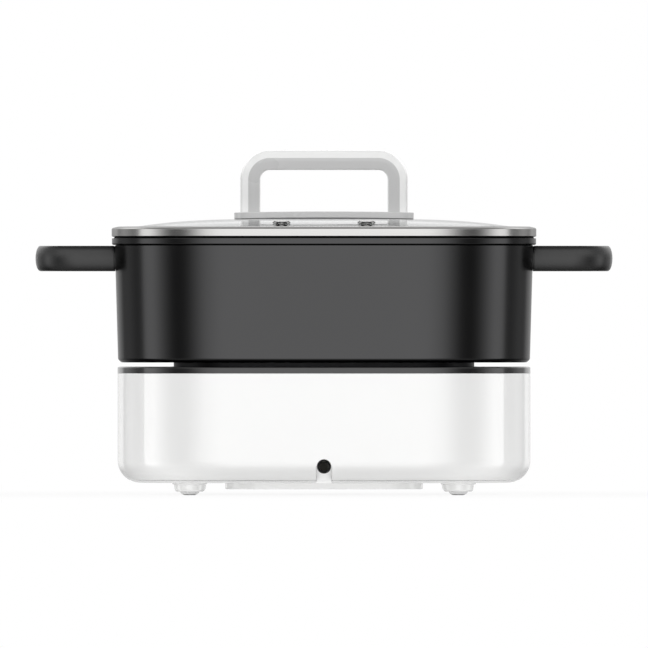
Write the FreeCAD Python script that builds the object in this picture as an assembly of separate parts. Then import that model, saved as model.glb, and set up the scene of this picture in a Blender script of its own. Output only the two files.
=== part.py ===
"""Electric hot pot in two parts: a heating base and a lift-off pot with a glass lid.

Frame, in millimetres: the origin is on the table under the middle of the pot, +Z is up, +X points to
the right pot handle, -Y to the mains cord outlet at the back and +Y to the control knob.
"""

import FreeCAD, Part  # noqa: E401  FreeCAD has to be loaded first

import math
import os

from FreeCAD import Vector

# ---- plan outline: every large rounded square is parallel to the base housing
BASE_SIDE = 268.2
CORNER_RADIUS = 78.0

# ---- feet and housing
FOOT_HEIGHT = 7.9
FOOT_MARGIN = 0.52  # along X and Y, from a corner of the heater's opening to a foot's axis
FOOT_TOP_DIAMETER = 22.8
FOOT_BOTTOM_DIAMETER = 18.8
FOOT_COLLAR_HEIGHT = 0.8
FOOT_LIFT = 2.6  # the hard foot ends this far above the table
PAD_DIAMETER = 13.2
PAD_FLAT_DIAMETER = 6.4
PAD_INSERT_DEPTH = 1.8
PAD_CROWN_BULGE = 0.5
HOUSING_HEIGHT = 70.6
HOUSING_WALL = 2.8
HOUSING_FLOOR = 2.5
HOUSING_BOTTOM_RADIUS = 14.5
FLOOR_OPENING_MARGIN = 10.0  # from the axes of the cover screws
FLOOR_OPENING_RADIUS = 12.0

# ---- bottom cover: a thin plate under the whole housing, with a platform in its middle
COVER_PLATE_THICKNESS = 1.4
COVER_REVEAL = 0.3  # how far its edge stands back from the housing at the seam
PLATFORM_SIDE = 128.5
PLATFORM_RADIUS = 25.0
PLATFORM_DEPTH = 4.3
PLATFORM_WALL = 2.2
PLATFORM_EDGE_RADIUS = 0.6
PLATFORM_SCREW_INSET = 12.25
VENT_SLOT_WIDTH = 3.0
VENT_SLOT_LENGTH = 56.0
VENT_SLOT_CORNER_RADIUS = 1.4
VENT_SLOT_PITCH = 8.0
VENT_SLOT_COUNT = 7

# ---- cord outlet at the back
CORD_HOLE_DIAMETER = 9.2
CORD_HOLE_HEIGHT = 10.8  # above the underside of the housing
CORD_SLOT_WIDTH = 10.1
CORD_SLOT_FLARE = 1.2
CORD_TAB_SETBACK = 8.7  # from the back of the housing to the tab that closes the slot
CORD_TAB_THICKNESS = 2.6
CORD_BOSS_WIDTH = 20.0
CORD_BOSS_DEPTH = 20.0
CORD_BORE_DIAMETER = 6.8
GLAND_SETBACK = 0.6
GLAND_CHAMFER = 0.6
GLAND_FLANGE_WIDTH = 2.1
GLAND_FLANGE_THICKNESS = 2.0

# ---- top panel
PANEL_HEIGHT = 4.7
PANEL_THICKNESS = 2.5
PANEL_EDGE_RADIUS = 0.8
PANEL_LIP_DEPTH = 3.0
PANEL_LIP_THICKNESS = 2.0
PANEL_BOSS_DIAMETER = 8.0
PANEL_BOSS_LENGTH = 50.0

# ---- heater
HEATER_SIDE = 195.2
HEATER_THICKNESS = 5.0
HEATER_EDGE_RADIUS = 1.0
POT_GAP = 2.8  # from the top panel up to the underside of the pot
POT_RECESS_DEPTH = 0.8
POT_RECESS_CLEARANCE = 0.8
SEAL_WIDTH = 1.5
ELEMENT_SIDE = 104.0
ELEMENT_RADIUS = 24.0
ELEMENT_DIAMETER = 6.6
ELEMENT_GAP = 24.0
ELEMENT_RIB_WIDTH = 11.0
ELEMENT_RIB_HEIGHT = 5.6
TERMINAL_DIAMETER = 2.6
TERMINAL_LENGTH = 16.0
TERMINAL_AIR_GAP = 2.5
HEATER_BOSS_SPACING = 124.0
HEATER_BOSS_DIAMETER = 11.0
HEATER_BOSS_LENGTH = 13.0
PAN_INSET = 5.6  # from the edge of the heater
PAN_SHEET = 0.8
PAN_DEPTH = 11.0
STRAP_WIDTH = 14.0
STRAP_THICKNESS = 1.5
STRAP_END = 8.0  # past the axis of its outer screw
STRAP_CORNER_RADIUS = 5.0
STRAP_POST_INSET = 23.1  # from the outside of the housing

# ---- spring-loaded temperature sensor in the middle of the heater
SENSOR_DIAMETER = 24.0
SENSOR_CLEARANCE = 0.6
SENSOR_WALL = 1.0
SENSOR_BEVEL = 0.6
SENSOR_TRAVEL = 3.0
SENSOR_STOP_GAP = 0.1
SENSOR_FLANGE_WIDTH = 2.2
SENSOR_FLANGE_THICKNESS = 1.0
SENSOR_GUIDE_WALL = 1.7
THERMISTOR_SIZE = (6.0, 4.0, 3.0)
SPRING_DIAMETER = 15.0
SPRING_WIRE = 1.2
SPRING_TURNS = 4.5
SPRING_END_GAP = 0.05

# ---- electrics on the housing floor and behind the knob
BOARD_SIZE = (118.0, 74.0, 1.6)
BOARD_STANDOFF = 11.6
BOARD_HOLE_INSET = 5.0
TRANSFORMER_SIZE = (26.0, 22.0, 18.0)
TRANSFORMER_PLACE = (-32.0, 12.0)
WINDING_SIZE = (16.0, 27.0, 13.5)
RELAY_SIZE = (19.0, 15.0, 16.0)
RELAY_PLACE = (2.0, 14.0)
CAPACITOR_DIAMETER = 12.5
CAPACITOR_HEIGHT = 21.0
CAPACITOR_PLACES = ((26.0, 16.0), (42.0, 16.0), (26.0, -14.0))
HEAT_SINK_SIZE = (34.0, 3.0, 22.0)
HEAT_SINK_PLACE = (-4.0, -18.0)
FIN_COUNT = 6
FIN_THICKNESS = 1.5
FIN_LENGTH = 6.0
TERMINAL_BLOCK_SIZE = (34.0, 12.0, 12.0)
TERMINAL_BLOCK_GAP = 14.0  # from the cord gland
TERMINAL_COUNT = 3
TERMINAL_WELL_DIAMETER = 5.0
TERMINAL_WELL_DEPTH = 5.0
CONTROL_BOARD_SIZE = (72.0, 46.0)
CONTROL_BOARD_LIFT = 8.0  # its middle above the knob's axis
CONTROL_BOARD_BOSS_SPACING = 60.0
FUSE_DIAMETER = 4.0
FUSE_LENGTH = 14.0
FUSE_CLIP_LENGTH = 7.0
FUSE_CLIP_WALL = 1.4
FUSE_OFFSET = 31.0  # towards the front, from the middle of the heater

# ---- knob on the front wall
KNOB_DIAMETER = 46.0
KNOB_DEPTH = 6.6
KNOB_WALL = 2.2
KNOB_EDGE_RADIUS = 1.2
KNOB_GAP = 0.5
KNOB_HUB_DIAMETER = 11.0
KNOB_FIT = 0.05
DIAL_RING_WIDTH = 6.0  # the band that shows round the knob
DIAL_RING_THICKNESS = 1.0
DIAL_RING_PROUD = 0.4
DIAL_RING_EDGE_RADIUS = 0.3
SHAFT_DIAMETER = 6.0
SHAFT_CLEARANCE = 0.08
SHAFT_FLAT_DEPTH = 1.5
SHAFT_END_GAP = 0.5
BUSHING_DIAMETER = 9.0
BUSHING_LENGTH = 6.2
POTENTIOMETER_SIZE = 17.0
POTENTIOMETER_DEPTH = 8.0
NUT_WIDTH = 12.0
NUT_THICKNESS = 2.0
INDICATOR_DIAMETER = 3.0
INDICATOR_PROUD = 0.2
LENS_COLLAR_DIAMETER = 5.4
LENS_COLLAR_THICKNESS = 1.2
LED_DIAMETER = 3.0
LED_LENGTH = 3.6

# ---- pot
POT_HEIGHT = 81.6
POT_INSET = 0.3  # how far its lower edge stands back from the base housing
POT_FLARE = 2.1  # how far its wall leans out from its lower edge to the flange
POT_WALL = 3.0
POT_FLOOR = 4.0
POT_BOTTOM_RADIUS = 2.8
POT_INNER_RADIUS = 12.0
FLANGE_OVERHANG = 1.9
FLANGE_HEIGHT = 4.8
FLANGE_CHAMFER = 1.3
LIP_HEIGHT = 0.8
LIP_INSET = 1.1

# ---- pot handles
GRIP_REACH = 51.8
GRIP_SPAN = 110.0
GRIP_HEIGHT = 16.4
GRIP_BAR_WIDTH = 16.0
GRIP_BULGE = 3.1
GRIP_CORNER_RADIUS = 28.6
GRIP_DROP = 1.0  # from the underside of the flange to the top of the grip
LUG_LENGTH = 20.0
LUG_WIDTH = 7.0
LUG_HEIGHT = 7.0
LUG_CLEARANCE = 0.2
LUG_SCREW_OFFSET = 11.0  # from the pot's wall

# ---- glass lid
LID_OVERHANG = 0.15  # past the pot's flange
RIM_HEIGHT = 5.8
RIM_SHEET = 0.8
RIM_FLOOR = 1.0
RIM_LIP_WIDTH = 4.4
RIM_EDGE_RADIUS = 0.7
SKIRT_DEPTH = 4.4
SKIRT_CLEARANCE = 1.1
GLASS_THICKNESS = 4.0
GLASS_CLEARANCE = 0.15
DOME_BORDER = 9.4  # flat glass between the rim's lip and the foot of the dome
DOME_RISE = 6.05
DOME_POWER = 4.8  # a higher power makes the dome flatter in the middle
DOME_SECTIONS = 11
DOME_CAP_SHARE = 0.05

# ---- steam vents
VENT_SPACING = 55.0
VENT_SETBACK = 17.15  # from the foot of the dome at the back
VENT_DIAMETER = 12.0
VENT_HEIGHT = 2.1
VENT_FLANGE = 0.8
VENT_NECK_DIAMETER = 7.4
VENT_BORE_DIAMETER = 5.0
VENT_WINDOW_COUNT = 8
VENT_WINDOW_DIAMETER = 1.5
VENT_WINDOW_HEIGHT = 0.9  # the windows' middle above the glass
# Shares of the cap's radius and height: its outside from the crown down, then the hollow from below up.
VENT_CAP_PROFILE = ((0, 1), (0.55, 0.92), (0.88, 0.68), (1, 0.4), (0.96, 0))
VENT_HOLLOW_PROFILE = ((0.8, 0.3), (0.7, 0.62), (0, 0.7))

# ---- lid handle
PLATE_END_MARGIN = 4.3  # past the arch along X
PLATE_SIDE_MARGIN = 6.0  # past the arch along Y
PLATE_THICKNESS = 4.1
PLATE_CORNER_RADIUS = 10.0
PLATE_BOW = 0.55
GASKET_THICKNESS = 0.9
GASKET_INSET = 0.4
ARCH_OPENING_WIDTH = 83.0
ARCH_OPENING_HEIGHT = 26.7
ARCH_INNER_RADIUS = 5.0
ARCH_FACE = 7.9
ARCH_THICKNESS = 12.7
ARCH_DEPTH = 26.0
ARCH_CHAMFER_DEPTH = 6.0
ARCH_INNER_FILLET = 1.4
WASHER_DIAMETER = 15.0
STEEL_WASHER_DIAMETER = 14.0
WASHER_THICKNESS = 1.2
SEAL_WASHER_THICKNESS = 1.6
LID_SCREW_GRIP = 10.0

# ---- fasteners
M3_DIAMETER = 3.0
M4_DIAMETER = 4.0
HEAD_SHARE = 1.9  # a pan head's diameter, in shank diameters
HEAD_HEIGHT_SHARE = 0.55
HOLE_CLEARANCE = 0.2
THREAD_CLEARANCE = 0.04
PIECE_CLEARANCE = 0.1
SLOT_WIDTH_SHARE = 0.22  # a cross recess, in shank diameters
SLOT_DEPTH_SHARE = 0.25
SLOT_LENGTH_SHARE = 0.62  # in head diameters
HEAD_ROUND_SHARE = 0.12
SCREW_END_GAP = 1.0  # from a screw's tip to the end of its blind hole
OVERCUT = 1.0  # how far a cutting shape runs past what it cuts

# ---- posts and screw lengths inside the housing
BASE_POST_DIAMETER = 10.0
BASE_SCREW_GRIP = 12.0  # how far a base screw enters the top panel's boss
STRAP_POST_DIAMETER = 10.0
STRAP_SCREW_LENGTH = 16.0
HEATER_SCREW_GRIP = 7.5
BOARD_POST_DIAMETER = 7.0
BOARD_SCREW_LENGTH = 8.0
COVER_POST_DIAMETER = 9.0
COVER_POST_HEIGHT = 5.0
HEAD_SINK = 0.4

# ---- levels and places worked out from the sizes above
housing_bottom = FOOT_HEIGHT
seam_z = housing_bottom + COVER_PLATE_THICKNESS
floor_top = seam_z + HOUSING_FLOOR
platform_bottom = housing_bottom - PLATFORM_DEPTH
housing_top = housing_bottom + HOUSING_HEIGHT
platform_screw_spacing = PLATFORM_SIDE - 2 * PLATFORM_SCREW_INSET
floor_opening_side = platform_screw_spacing - 2 * FLOOR_OPENING_MARGIN
panel_top = housing_top + PANEL_HEIGHT
panel_underside = panel_top - PANEL_THICKNESS
pot_bottom = panel_top + POT_GAP
heater_top = pot_bottom + POT_RECESS_DEPTH
heater_bottom = heater_top - HEATER_THICKNESS
pan_bottom = heater_bottom - HEATER_BOSS_LENGTH - PAN_SHEET
pan_floor = pan_bottom + PAN_SHEET
pan_side = HEATER_SIDE - 2 * PAN_INSET
strap_bottom = pan_bottom - STRAP_THICKNESS
flange_top = pot_bottom + POT_HEIGHT
flange_bottom = flange_top - FLANGE_HEIGHT
lip_top = flange_top + LIP_HEIGHT
rim_top = lip_top + RIM_HEIGHT
glass_top = rim_top - RIM_SHEET
glass_bottom = glass_top - GLASS_THICKNESS
dome_top = glass_top + DOME_RISE
plate_bottom = dome_top + GASKET_THICKNESS
plate_top = plate_bottom + PLATE_THICKNESS
half_base = BASE_SIDE / 2
front_inner = half_base - HOUSING_WALL
strap_post_spacing = BASE_SIDE - 2 * STRAP_POST_INSET
strap_length = strap_post_spacing + 2 * STRAP_END
cord_z = housing_bottom + CORD_HOLE_HEIGHT
gland_flange_diameter = CORD_HOLE_DIAMETER + 2 * GLAND_FLANGE_WIDTH
tab_back = -half_base + CORD_TAB_SETBACK + CORD_TAB_THICKNESS
terminal_x = ELEMENT_GAP / 2 + ELEMENT_DIAMETER
sensor_roof = heater_top - SENSOR_WALL
sensor_flange_diameter = SENSOR_DIAMETER + 2 * SENSOR_FLANGE_WIDTH
sensor_guide_diameter = sensor_flange_diameter + 2 * (SENSOR_CLEARANCE + SENSOR_GUIDE_WALL)
sensor_bottom = heater_bottom - SENSOR_TRAVEL - SENSOR_STOP_GAP - SENSOR_FLANGE_THICKNESS
knob_z = (housing_bottom + housing_top) / 2
dial_ring_diameter = KNOB_DIAMETER + 2 * DIAL_RING_WIDTH
indicator_z = knob_z + (KNOB_DIAMETER + DIAL_RING_WIDTH) / 2
opening_side = HEATER_SIDE + 2 * SEAL_WIDTH + 2 * PIECE_CLEARANCE
opening_radius = CORNER_RADIUS + (opening_side - BASE_SIDE) / 2
foot_xy = opening_side / 2 - opening_radius * (1 - math.sqrt(0.5)) + FOOT_MARGIN
foot_spacing = 2 * foot_xy
pot_bottom_side = BASE_SIDE - 2 * POT_INSET
pot_top_side = pot_bottom_side + 2 * POT_FLARE
flange_side = pot_top_side + 2 * FLANGE_OVERHANG
lid_side = flange_side + 2 * LID_OVERHANG
mouth_side = pot_top_side - 2 * POT_WALL
skirt_side = mouth_side - 2 * SKIRT_CLEARANCE
glass_side = lid_side - 2 * RIM_SHEET - 2 * GLASS_CLEARANCE
dome_side = lid_side - 2 * RIM_LIP_WIDTH - 2 * DOME_BORDER
vent_offset = dome_side / 2 - VENT_SETBACK
arch_leg_x = (ARCH_OPENING_WIDTH + ARCH_THICKNESS) / 2
plate_length = ARCH_OPENING_WIDTH + 2 * ARCH_THICKNESS + 2 * PLATE_END_MARGIN
plate_depth = ARCH_DEPTH + 2 * PLATE_SIDE_MARGIN
board_z = floor_top + BOARD_STANDOFF
board_top = board_z + BOARD_SIZE[2]
board_screw_reach = BOARD_SIZE[2] + BOARD_SCREW_LENGTH - SCREW_END_GAP
cover_post_top = floor_top + COVER_POST_HEIGHT
panel_boss_bottom = panel_underside - PANEL_BOSS_LENGTH
m3_clear = M3_DIAMETER + 2 * HOLE_CLEARANCE
m4_clear = M4_DIAMETER + 2 * HOLE_CLEARANCE
m3_head = M3_DIAMETER * HEAD_SHARE + 2 * HOLE_CLEARANCE
m4_head = M4_DIAMETER * HEAD_SHARE + 2 * HOLE_CLEARANCE
glass_hole = m4_clear + 2 * HOLE_CLEARANCE
pad_roof = FOOT_LIFT + PAD_INSERT_DEPTH
foot_screw_seat = pad_roof + M4_DIAMETER * HEAD_HEIGHT_SHARE + HOLE_CLEARANCE
ring_front = half_base + DIAL_RING_PROUD
bushing_end = front_inner + BUSHING_LENGTH
knob_back = ring_front + KNOB_GAP
control_board_y = front_inner - POTENTIOMETER_DEPTH
CORNERS = [(sx, sy) for sx in (-1, 1) for sy in (-1, 1)]


# ---------------------------------------------------------------- shape helpers
def outline(side, z, radius=None):
    """A rounded square about the Z axis. Without a radius of its own it is parallel to the housing."""
    if radius is None:
        radius = CORNER_RADIUS + (side - BASE_SIDE) / 2
    return rounded_rectangle(side, side, radius, z)


def rounded_rectangle(length, width, radius, z):
    """A closed wire of four lines and four quarter arcs, centred on the Z axis."""
    ix, iy = length / 2 - radius, width / 2 - radius
    edges = []
    for n in range(4):
        turn = math.radians(90 * n)
        sx, sy = [(1, 1), (-1, 1), (-1, -1), (1, -1)][n]
        centre = Vector(sx * ix, sy * iy, z)
        first, middle, last = (centre + radius * unit(turn + math.radians(a)) for a in (0, 45, 90))
        edges.append((first, middle, last))
    wire = []
    for n, (first, middle, last) in enumerate(edges):
        wire.append(Part.Arc(first, middle, last).toShape())
        wire.append(Part.LineSegment(last, edges[(n + 1) % 4][0]).toShape())
    return Part.Wire(wire)


def unit(angle):
    return Vector(math.cos(angle), math.sin(angle), 0)


def raised(wire, height):
    return Part.Face(wire).extrude(Vector(0, 0, height))


def prism(side, z0, z1, radius=None):
    return raised(outline(side, z0, radius), z1 - z0)


def tapered(side0, z0, side1, z1):
    return Part.makeLoft([outline(side0, z0), outline(side1, z1)], True, True)


def rod(diameter, z0, z1, x=0.0, y=0.0):
    return Part.makeCylinder(diameter / 2, z1 - z0, Vector(x, y, z0))


def rod_along_y(diameter, y0, y1, x, z):
    return Part.makeCylinder(diameter / 2, y1 - y0, Vector(x, y0, z), Vector(0, 1, 0))


def bore(diameter, z0, z1, x=0.0, y=0.0):
    """A cutting rod that runs out past both heights."""
    return rod(diameter, z0 - OVERCUT, z1 + OVERCUT, x, y)


def bore_along_y(diameter, y0, y1, x, z):
    return rod_along_y(diameter, y0 - OVERCUT, y1 + OVERCUT, x, z)


def block(size, x, y, z):
    """A box standing on height z, centred at x, y."""
    return Part.makeBox(size[0], size[1], size[2], Vector(x - size[0] / 2, y - size[1] / 2, z))


def turned(points):
    """A solid turned about Z from a closed profile of (radius, height) points."""
    profile = Part.makePolygon([Vector(r, 0, z) for r, z in points + points[:1]])
    return Part.Face(profile).revolve(Vector(0, 0, 0), Vector(0, 0, 1), 360)


def edges_at(shape, z, tolerance=0.01):
    """The edges that lie in the plane of height z."""
    return [e for e in shape.Edges
            if abs(e.BoundBox.ZMin - z) < tolerance and abs(e.BoundBox.ZMax - z) < tolerance]


def fused(shapes):
    first, rest = shapes[0], shapes[1:]
    return first.fuse(rest).removeSplitter() if rest else first


def swept(section, path):
    """A solid swept along a path, keeping its section square to the path."""
    sweep = Part.BRepOffsetAPI.MakePipeShell(path)
    sweep.setFrenetMode(True)
    sweep.add(section)
    sweep.build()
    sweep.makeSolid()
    return sweep.shape()


def loop_path(start, out, across, reach, span, radius):
    """A three-sided path: out from start, across, and back, with round corners."""
    far, slack = start + out * reach, radius * (1 - math.sqrt(0.5))
    points = [start, far - out * radius, far + across * radius, far + across * (span - radius),
              far - out * radius + across * span, start + across * span]
    bends = [far + (across - out) * slack, far - out * slack + across * (span - slack)]
    return Part.Wire([Part.LineSegment(points[0], points[1]).toShape(),
                      Part.Arc(points[1], bends[0], points[2]).toShape(),
                      Part.LineSegment(points[2], points[3]).toShape(),
                      Part.Arc(points[3], bends[1], points[4]).toShape(),
                      Part.LineSegment(points[4], points[5]).toShape()])


def screw(diameter, head_z, length, x, y, up=1):
    """A pan-head screw. Its head stands on the far side of head_z and its shank runs up or down."""
    shank = diameter - 2 * THREAD_CLEARANCE
    head_height = diameter * HEAD_HEIGHT_SHARE
    head = Part.makeCylinder(diameter * HEAD_SHARE / 2, head_height,
                             Vector(x, y, head_z), Vector(0, 0, -up))
    far = head_z - up * head_height
    head = head.makeFillet(diameter * HEAD_ROUND_SHARE, edges_at(head, far))
    depth = diameter * SLOT_DEPTH_SHARE
    slot = block((diameter * HEAD_SHARE * SLOT_LENGTH_SHARE, diameter * SLOT_WIDTH_SHARE, depth),
                 x, y, far if up > 0 else far - depth)
    cross = slot.copy().rotate(Vector(x, y, 0), Vector(0, 0, 1), 90)
    stem = Part.makeCylinder(shank / 2, length, Vector(x, y, head_z), Vector(0, 0, up))
    return fused([head, stem]).cut([slot, cross])


def at_corners(spacing_x, spacing_y=None):
    spacing_y = spacing_x if spacing_y is None else spacing_y
    return [(sx * spacing_x / 2, sy * spacing_y / 2) for sx, sy in CORNERS]


# ---------------------------------------------------------------- base housing and its covers
def rounded_base(side, top):
    """The base's outside, with its rounded bottom edge."""
    body = prism(side, housing_bottom, top)
    return body.makeFillet(HOUSING_BOTTOM_RADIUS, edges_at(body, housing_bottom))


def housing_shell():
    inner = prism(BASE_SIDE - 2 * HOUSING_WALL, floor_top, housing_top + OVERCUT)
    inner = inner.makeFillet(HOUSING_BOTTOM_RADIUS - HOUSING_WALL, edges_at(inner, floor_top))
    below = prism(BASE_SIDE + 2 * OVERCUT, housing_bottom - OVERCUT, seam_z)
    return rounded_base(BASE_SIDE, housing_top).cut([inner, below])


def housing_posts():
    posts = [rod(BASE_POST_DIAMETER, seam_z, panel_boss_bottom, x, y) for x, y in at_corners(foot_spacing)]
    posts += [rod(STRAP_POST_DIAMETER, seam_z, strap_bottom, x, y)
              for x, y in at_corners(strap_post_spacing, HEATER_BOSS_SPACING)]
    posts += [rod(BOARD_POST_DIAMETER, seam_z, board_z, x, y) for x, y in board_holes()]
    posts += [rod(COVER_POST_DIAMETER, seam_z, cover_post_top, x, y)
              for x, y in at_corners(platform_screw_spacing)]
    return posts


def board_holes():
    return at_corners(BOARD_SIZE[0] - 2 * BOARD_HOLE_INSET, BOARD_SIZE[1] - 2 * BOARD_HOLE_INSET)


def housing_holes():
    """Clear holes for the base screws, threaded holes for the rest, and the service opening."""
    holes = [bore(m4_clear, seam_z, panel_boss_bottom, x, y) for x, y in at_corners(foot_spacing)]
    holes += [rod(M4_DIAMETER, strap_bottom - STRAP_SCREW_LENGTH, strap_bottom + OVERCUT, x, y)
              for x, y in at_corners(strap_post_spacing, HEATER_BOSS_SPACING)]
    holes += [rod(M3_DIAMETER, board_z - BOARD_SCREW_LENGTH, board_z + OVERCUT, x, y)
              for x, y in board_holes()]
    holes += [rod(M3_DIAMETER, seam_z - OVERCUT, cover_post_top - SCREW_END_GAP, x, y)
              for x, y in at_corners(platform_screw_spacing)]
    holes.append(prism(floor_opening_side, seam_z - OVERCUT, floor_top + OVERCUT, FLOOR_OPENING_RADIUS))
    return holes


def cord_boss():
    """The thick block inside the back wall that the cord hole runs through."""
    top = cord_z + CORD_HOLE_DIAMETER / 2 + HOUSING_WALL
    boss = Part.makeBox(CORD_BOSS_WIDTH, CORD_BOSS_DEPTH, top - seam_z,
                        Vector(-CORD_BOSS_WIDTH / 2, -half_base, seam_z))
    return boss.common(rounded_base(BASE_SIDE, housing_top))


def cord_hole():
    return bore_along_y(CORD_HOLE_DIAMETER, -half_base, -half_base + CORD_BOSS_DEPTH, 0, cord_z)


def cord_slot():
    """The slot below the cord hole, flared where it meets the housing's lower edge."""
    half, flare, y = CORD_SLOT_WIDTH / 2, CORD_SLOT_FLARE, -half_base - OVERCUT
    corner = flare * math.sqrt(0.5)
    edges = []
    for s in (-1, 1):
        top, turn = Vector(s * half, y, cord_z), Vector(s * half, y, seam_z + flare)
        middle = Vector(s * (half + flare - corner), y, seam_z + flare - corner)
        edges.append(Part.LineSegment(top, turn).toShape())
        edges.append(Part.Arc(turn, middle, Vector(s * (half + flare), y, seam_z)).toShape())
    for reach, z in ((half, cord_z), (half + flare, seam_z)):
        edges.append(Part.LineSegment(Vector(-reach, y, z), Vector(reach, y, z)).toShape())
    face = Part.Face(Part.Wire(Part.__sortEdges__(edges)))
    return face.extrude(Vector(0, tab_back + PIECE_CLEARANCE - y, 0))


def front_wall_cuts():
    """Seat of the dial ring, and the holes for the knob's bushing and for the indicator."""
    ring = rod_along_y(dial_ring_diameter + 2 * PIECE_CLEARANCE, ring_front - DIAL_RING_THICKNESS,
                       half_base + OVERCUT, 0, knob_z)
    return [ring, bushing_hole(), indicator_hole()]


def bushing_hole():
    return bore_along_y(BUSHING_DIAMETER + 2 * HOLE_CLEARANCE, front_inner, ring_front, 0, knob_z)


def indicator_hole():
    return bore_along_y(INDICATOR_DIAMETER + 2 * PIECE_CLEARANCE, front_inner, ring_front, 0, indicator_z)


def control_board_bosses():
    return [rod_along_y(BOARD_POST_DIAMETER, control_board_y, front_inner + HOUSING_WALL / 2, x, knob_z)
            for x in control_board_holes()]


def control_board_holes():
    return [sx * CONTROL_BOARD_BOSS_SPACING / 2 for sx in (-1, 1)]


def make_base_housing():
    body = fused([housing_shell(), cord_boss()] + housing_posts() + control_board_bosses())
    pilots = [rod_along_y(M3_DIAMETER, control_board_y - OVERCUT, control_board_y + BOARD_SCREW_LENGTH,
                          x, knob_z) for x in control_board_holes()]
    return body.cut(housing_holes() + [cord_hole(), cord_slot()] + front_wall_cuts() + pilots)


def make_top_panel():
    panel = prism(BASE_SIDE, housing_top, panel_top)
    panel = panel.makeFillet(PANEL_EDGE_RADIUS, edges_at(panel, panel_top))
    wall = HOUSING_WALL + PIECE_CLEARANCE + PANEL_LIP_THICKNESS
    lip_side = BASE_SIDE - 2 * (HOUSING_WALL + PIECE_CLEARANCE)
    lip = prism(lip_side, housing_top - PANEL_LIP_DEPTH, housing_top)
    hollow = prism(BASE_SIDE - 2 * wall, housing_top - PANEL_LIP_DEPTH - OVERCUT, panel_underside)
    opening = prism(opening_side, housing_top, panel_top + OVERCUT)
    bosses = [rod(PANEL_BOSS_DIAMETER, panel_boss_bottom, panel_underside, x, y)
              for x, y in at_corners(foot_spacing)]
    pilots = [rod(M4_DIAMETER, panel_boss_bottom - OVERCUT,
                  panel_boss_bottom + BASE_SCREW_GRIP + SCREW_END_GAP, x, y)
              for x, y in at_corners(foot_spacing)]
    panel = fused([panel, lip]).cut([hollow, opening])
    return fused([panel] + bosses).cut(pilots)


def make_bottom_cover():
    plate = rounded_base(BASE_SIDE - 2 * COVER_REVEAL, housing_top)
    plate = plate.common(prism(BASE_SIDE, housing_bottom, seam_z))
    platform = prism(PLATFORM_SIDE, platform_bottom, housing_bottom, PLATFORM_RADIUS)
    platform = platform.makeFillet(PLATFORM_EDGE_RADIUS, edges_at(platform, platform_bottom))
    inner_side = PLATFORM_SIDE - 2 * PLATFORM_WALL
    pocket = prism(inner_side, platform_bottom + PLATFORM_WALL, seam_z + OVERCUT,
                   PLATFORM_RADIUS - PLATFORM_WALL)
    pads = [rod(COVER_POST_DIAMETER, platform_bottom + PLATFORM_WALL, seam_z, x, y)
            for x, y in at_corners(platform_screw_spacing)]
    cover = fused([fused([plate, platform]).cut(pocket), cord_tab()] + pads)
    return cover.cut(cover_screw_holes() + cooling_slots() + [cord_hole()])


def cord_tab():
    """The upright tongue that closes the slot below the cord hole."""
    width = CORD_SLOT_WIDTH - 2 * PIECE_CLEARANCE
    return Part.makeBox(width, CORD_TAB_THICKNESS, cord_z - housing_bottom,
                        Vector(-width / 2, tab_back - CORD_TAB_THICKNESS, housing_bottom))


def cover_screw_seat():
    return platform_bottom + M3_DIAMETER * HEAD_HEIGHT_SHARE + HEAD_SINK


def cover_screw_holes():
    holes = [bore(m4_clear, housing_bottom, seam_z, x, y) for x, y in at_corners(foot_spacing)]
    for x, y in at_corners(platform_screw_spacing):
        holes.append(bore(m3_clear, platform_bottom, seam_z, x, y))
        holes.append(rod(m3_head, platform_bottom - OVERCUT, cover_screw_seat(), x, y))
    return holes


def cooling_slots():
    slots = []
    for n in range(VENT_SLOT_COUNT):
        slot = rounded_rectangle(VENT_SLOT_LENGTH, VENT_SLOT_WIDTH, VENT_SLOT_CORNER_RADIUS,
                                 platform_bottom - OVERCUT)
        slot.translate(Vector(0, (n - (VENT_SLOT_COUNT - 1) / 2) * VENT_SLOT_PITCH, 0))
        slots.append(raised(slot, PLATFORM_WALL + 2 * OVERCUT))
    return slots


def make_foot(x, y):
    """A hard conical foot, hollow underneath for the screw head and the rubber pad."""
    top, bottom = FOOT_TOP_DIAMETER / 2, FOOT_BOTTOM_DIAMETER / 2
    seat, head, shank = PAD_DIAMETER / 2 + PIECE_CLEARANCE, m4_head / 2, m4_clear / 2
    foot = turned([(shank, FOOT_HEIGHT), (top, FOOT_HEIGHT), (top, FOOT_HEIGHT - FOOT_COLLAR_HEIGHT),
                   (bottom, FOOT_LIFT), (seat, FOOT_LIFT), (seat, pad_roof), (head, pad_roof),
                   (head, foot_screw_seat), (shank, foot_screw_seat)])
    foot.translate(Vector(x, y, 0))
    return foot


def make_foot_pad(x, y):
    """A rubber plug with a rounded face that ends in a small flat on the table."""
    flat, edge = Vector(PAD_FLAT_DIAMETER / 2, 0, 0), Vector(PAD_DIAMETER / 2, 0, FOOT_LIFT)
    outward = Vector(edge.z - flat.z, 0, flat.x - edge.x).normalize()
    middle = (flat + edge) * 0.5 + outward * PAD_CROWN_BULGE
    corners = [edge, Vector(edge.x, 0, pad_roof), Vector(0, 0, pad_roof), Vector(0, 0, 0), flat]
    sides = [Part.LineSegment(a, b).toShape() for a, b in zip(corners, corners[1:])]
    crown = Part.Arc(corners[-1], middle, corners[0]).toShape()
    pad = Part.Face(Part.Wire(sides + [crown])).revolve(Vector(0, 0, 0), Vector(0, 0, 1), 360)
    pad.translate(Vector(x, y, 0))
    return pad


def make_base_screws():
    length = panel_boss_bottom + BASE_SCREW_GRIP - foot_screw_seat
    return Part.makeCompound([screw(M4_DIAMETER, foot_screw_seat, length, x, y)
                              for x, y in at_corners(foot_spacing)])


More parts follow.
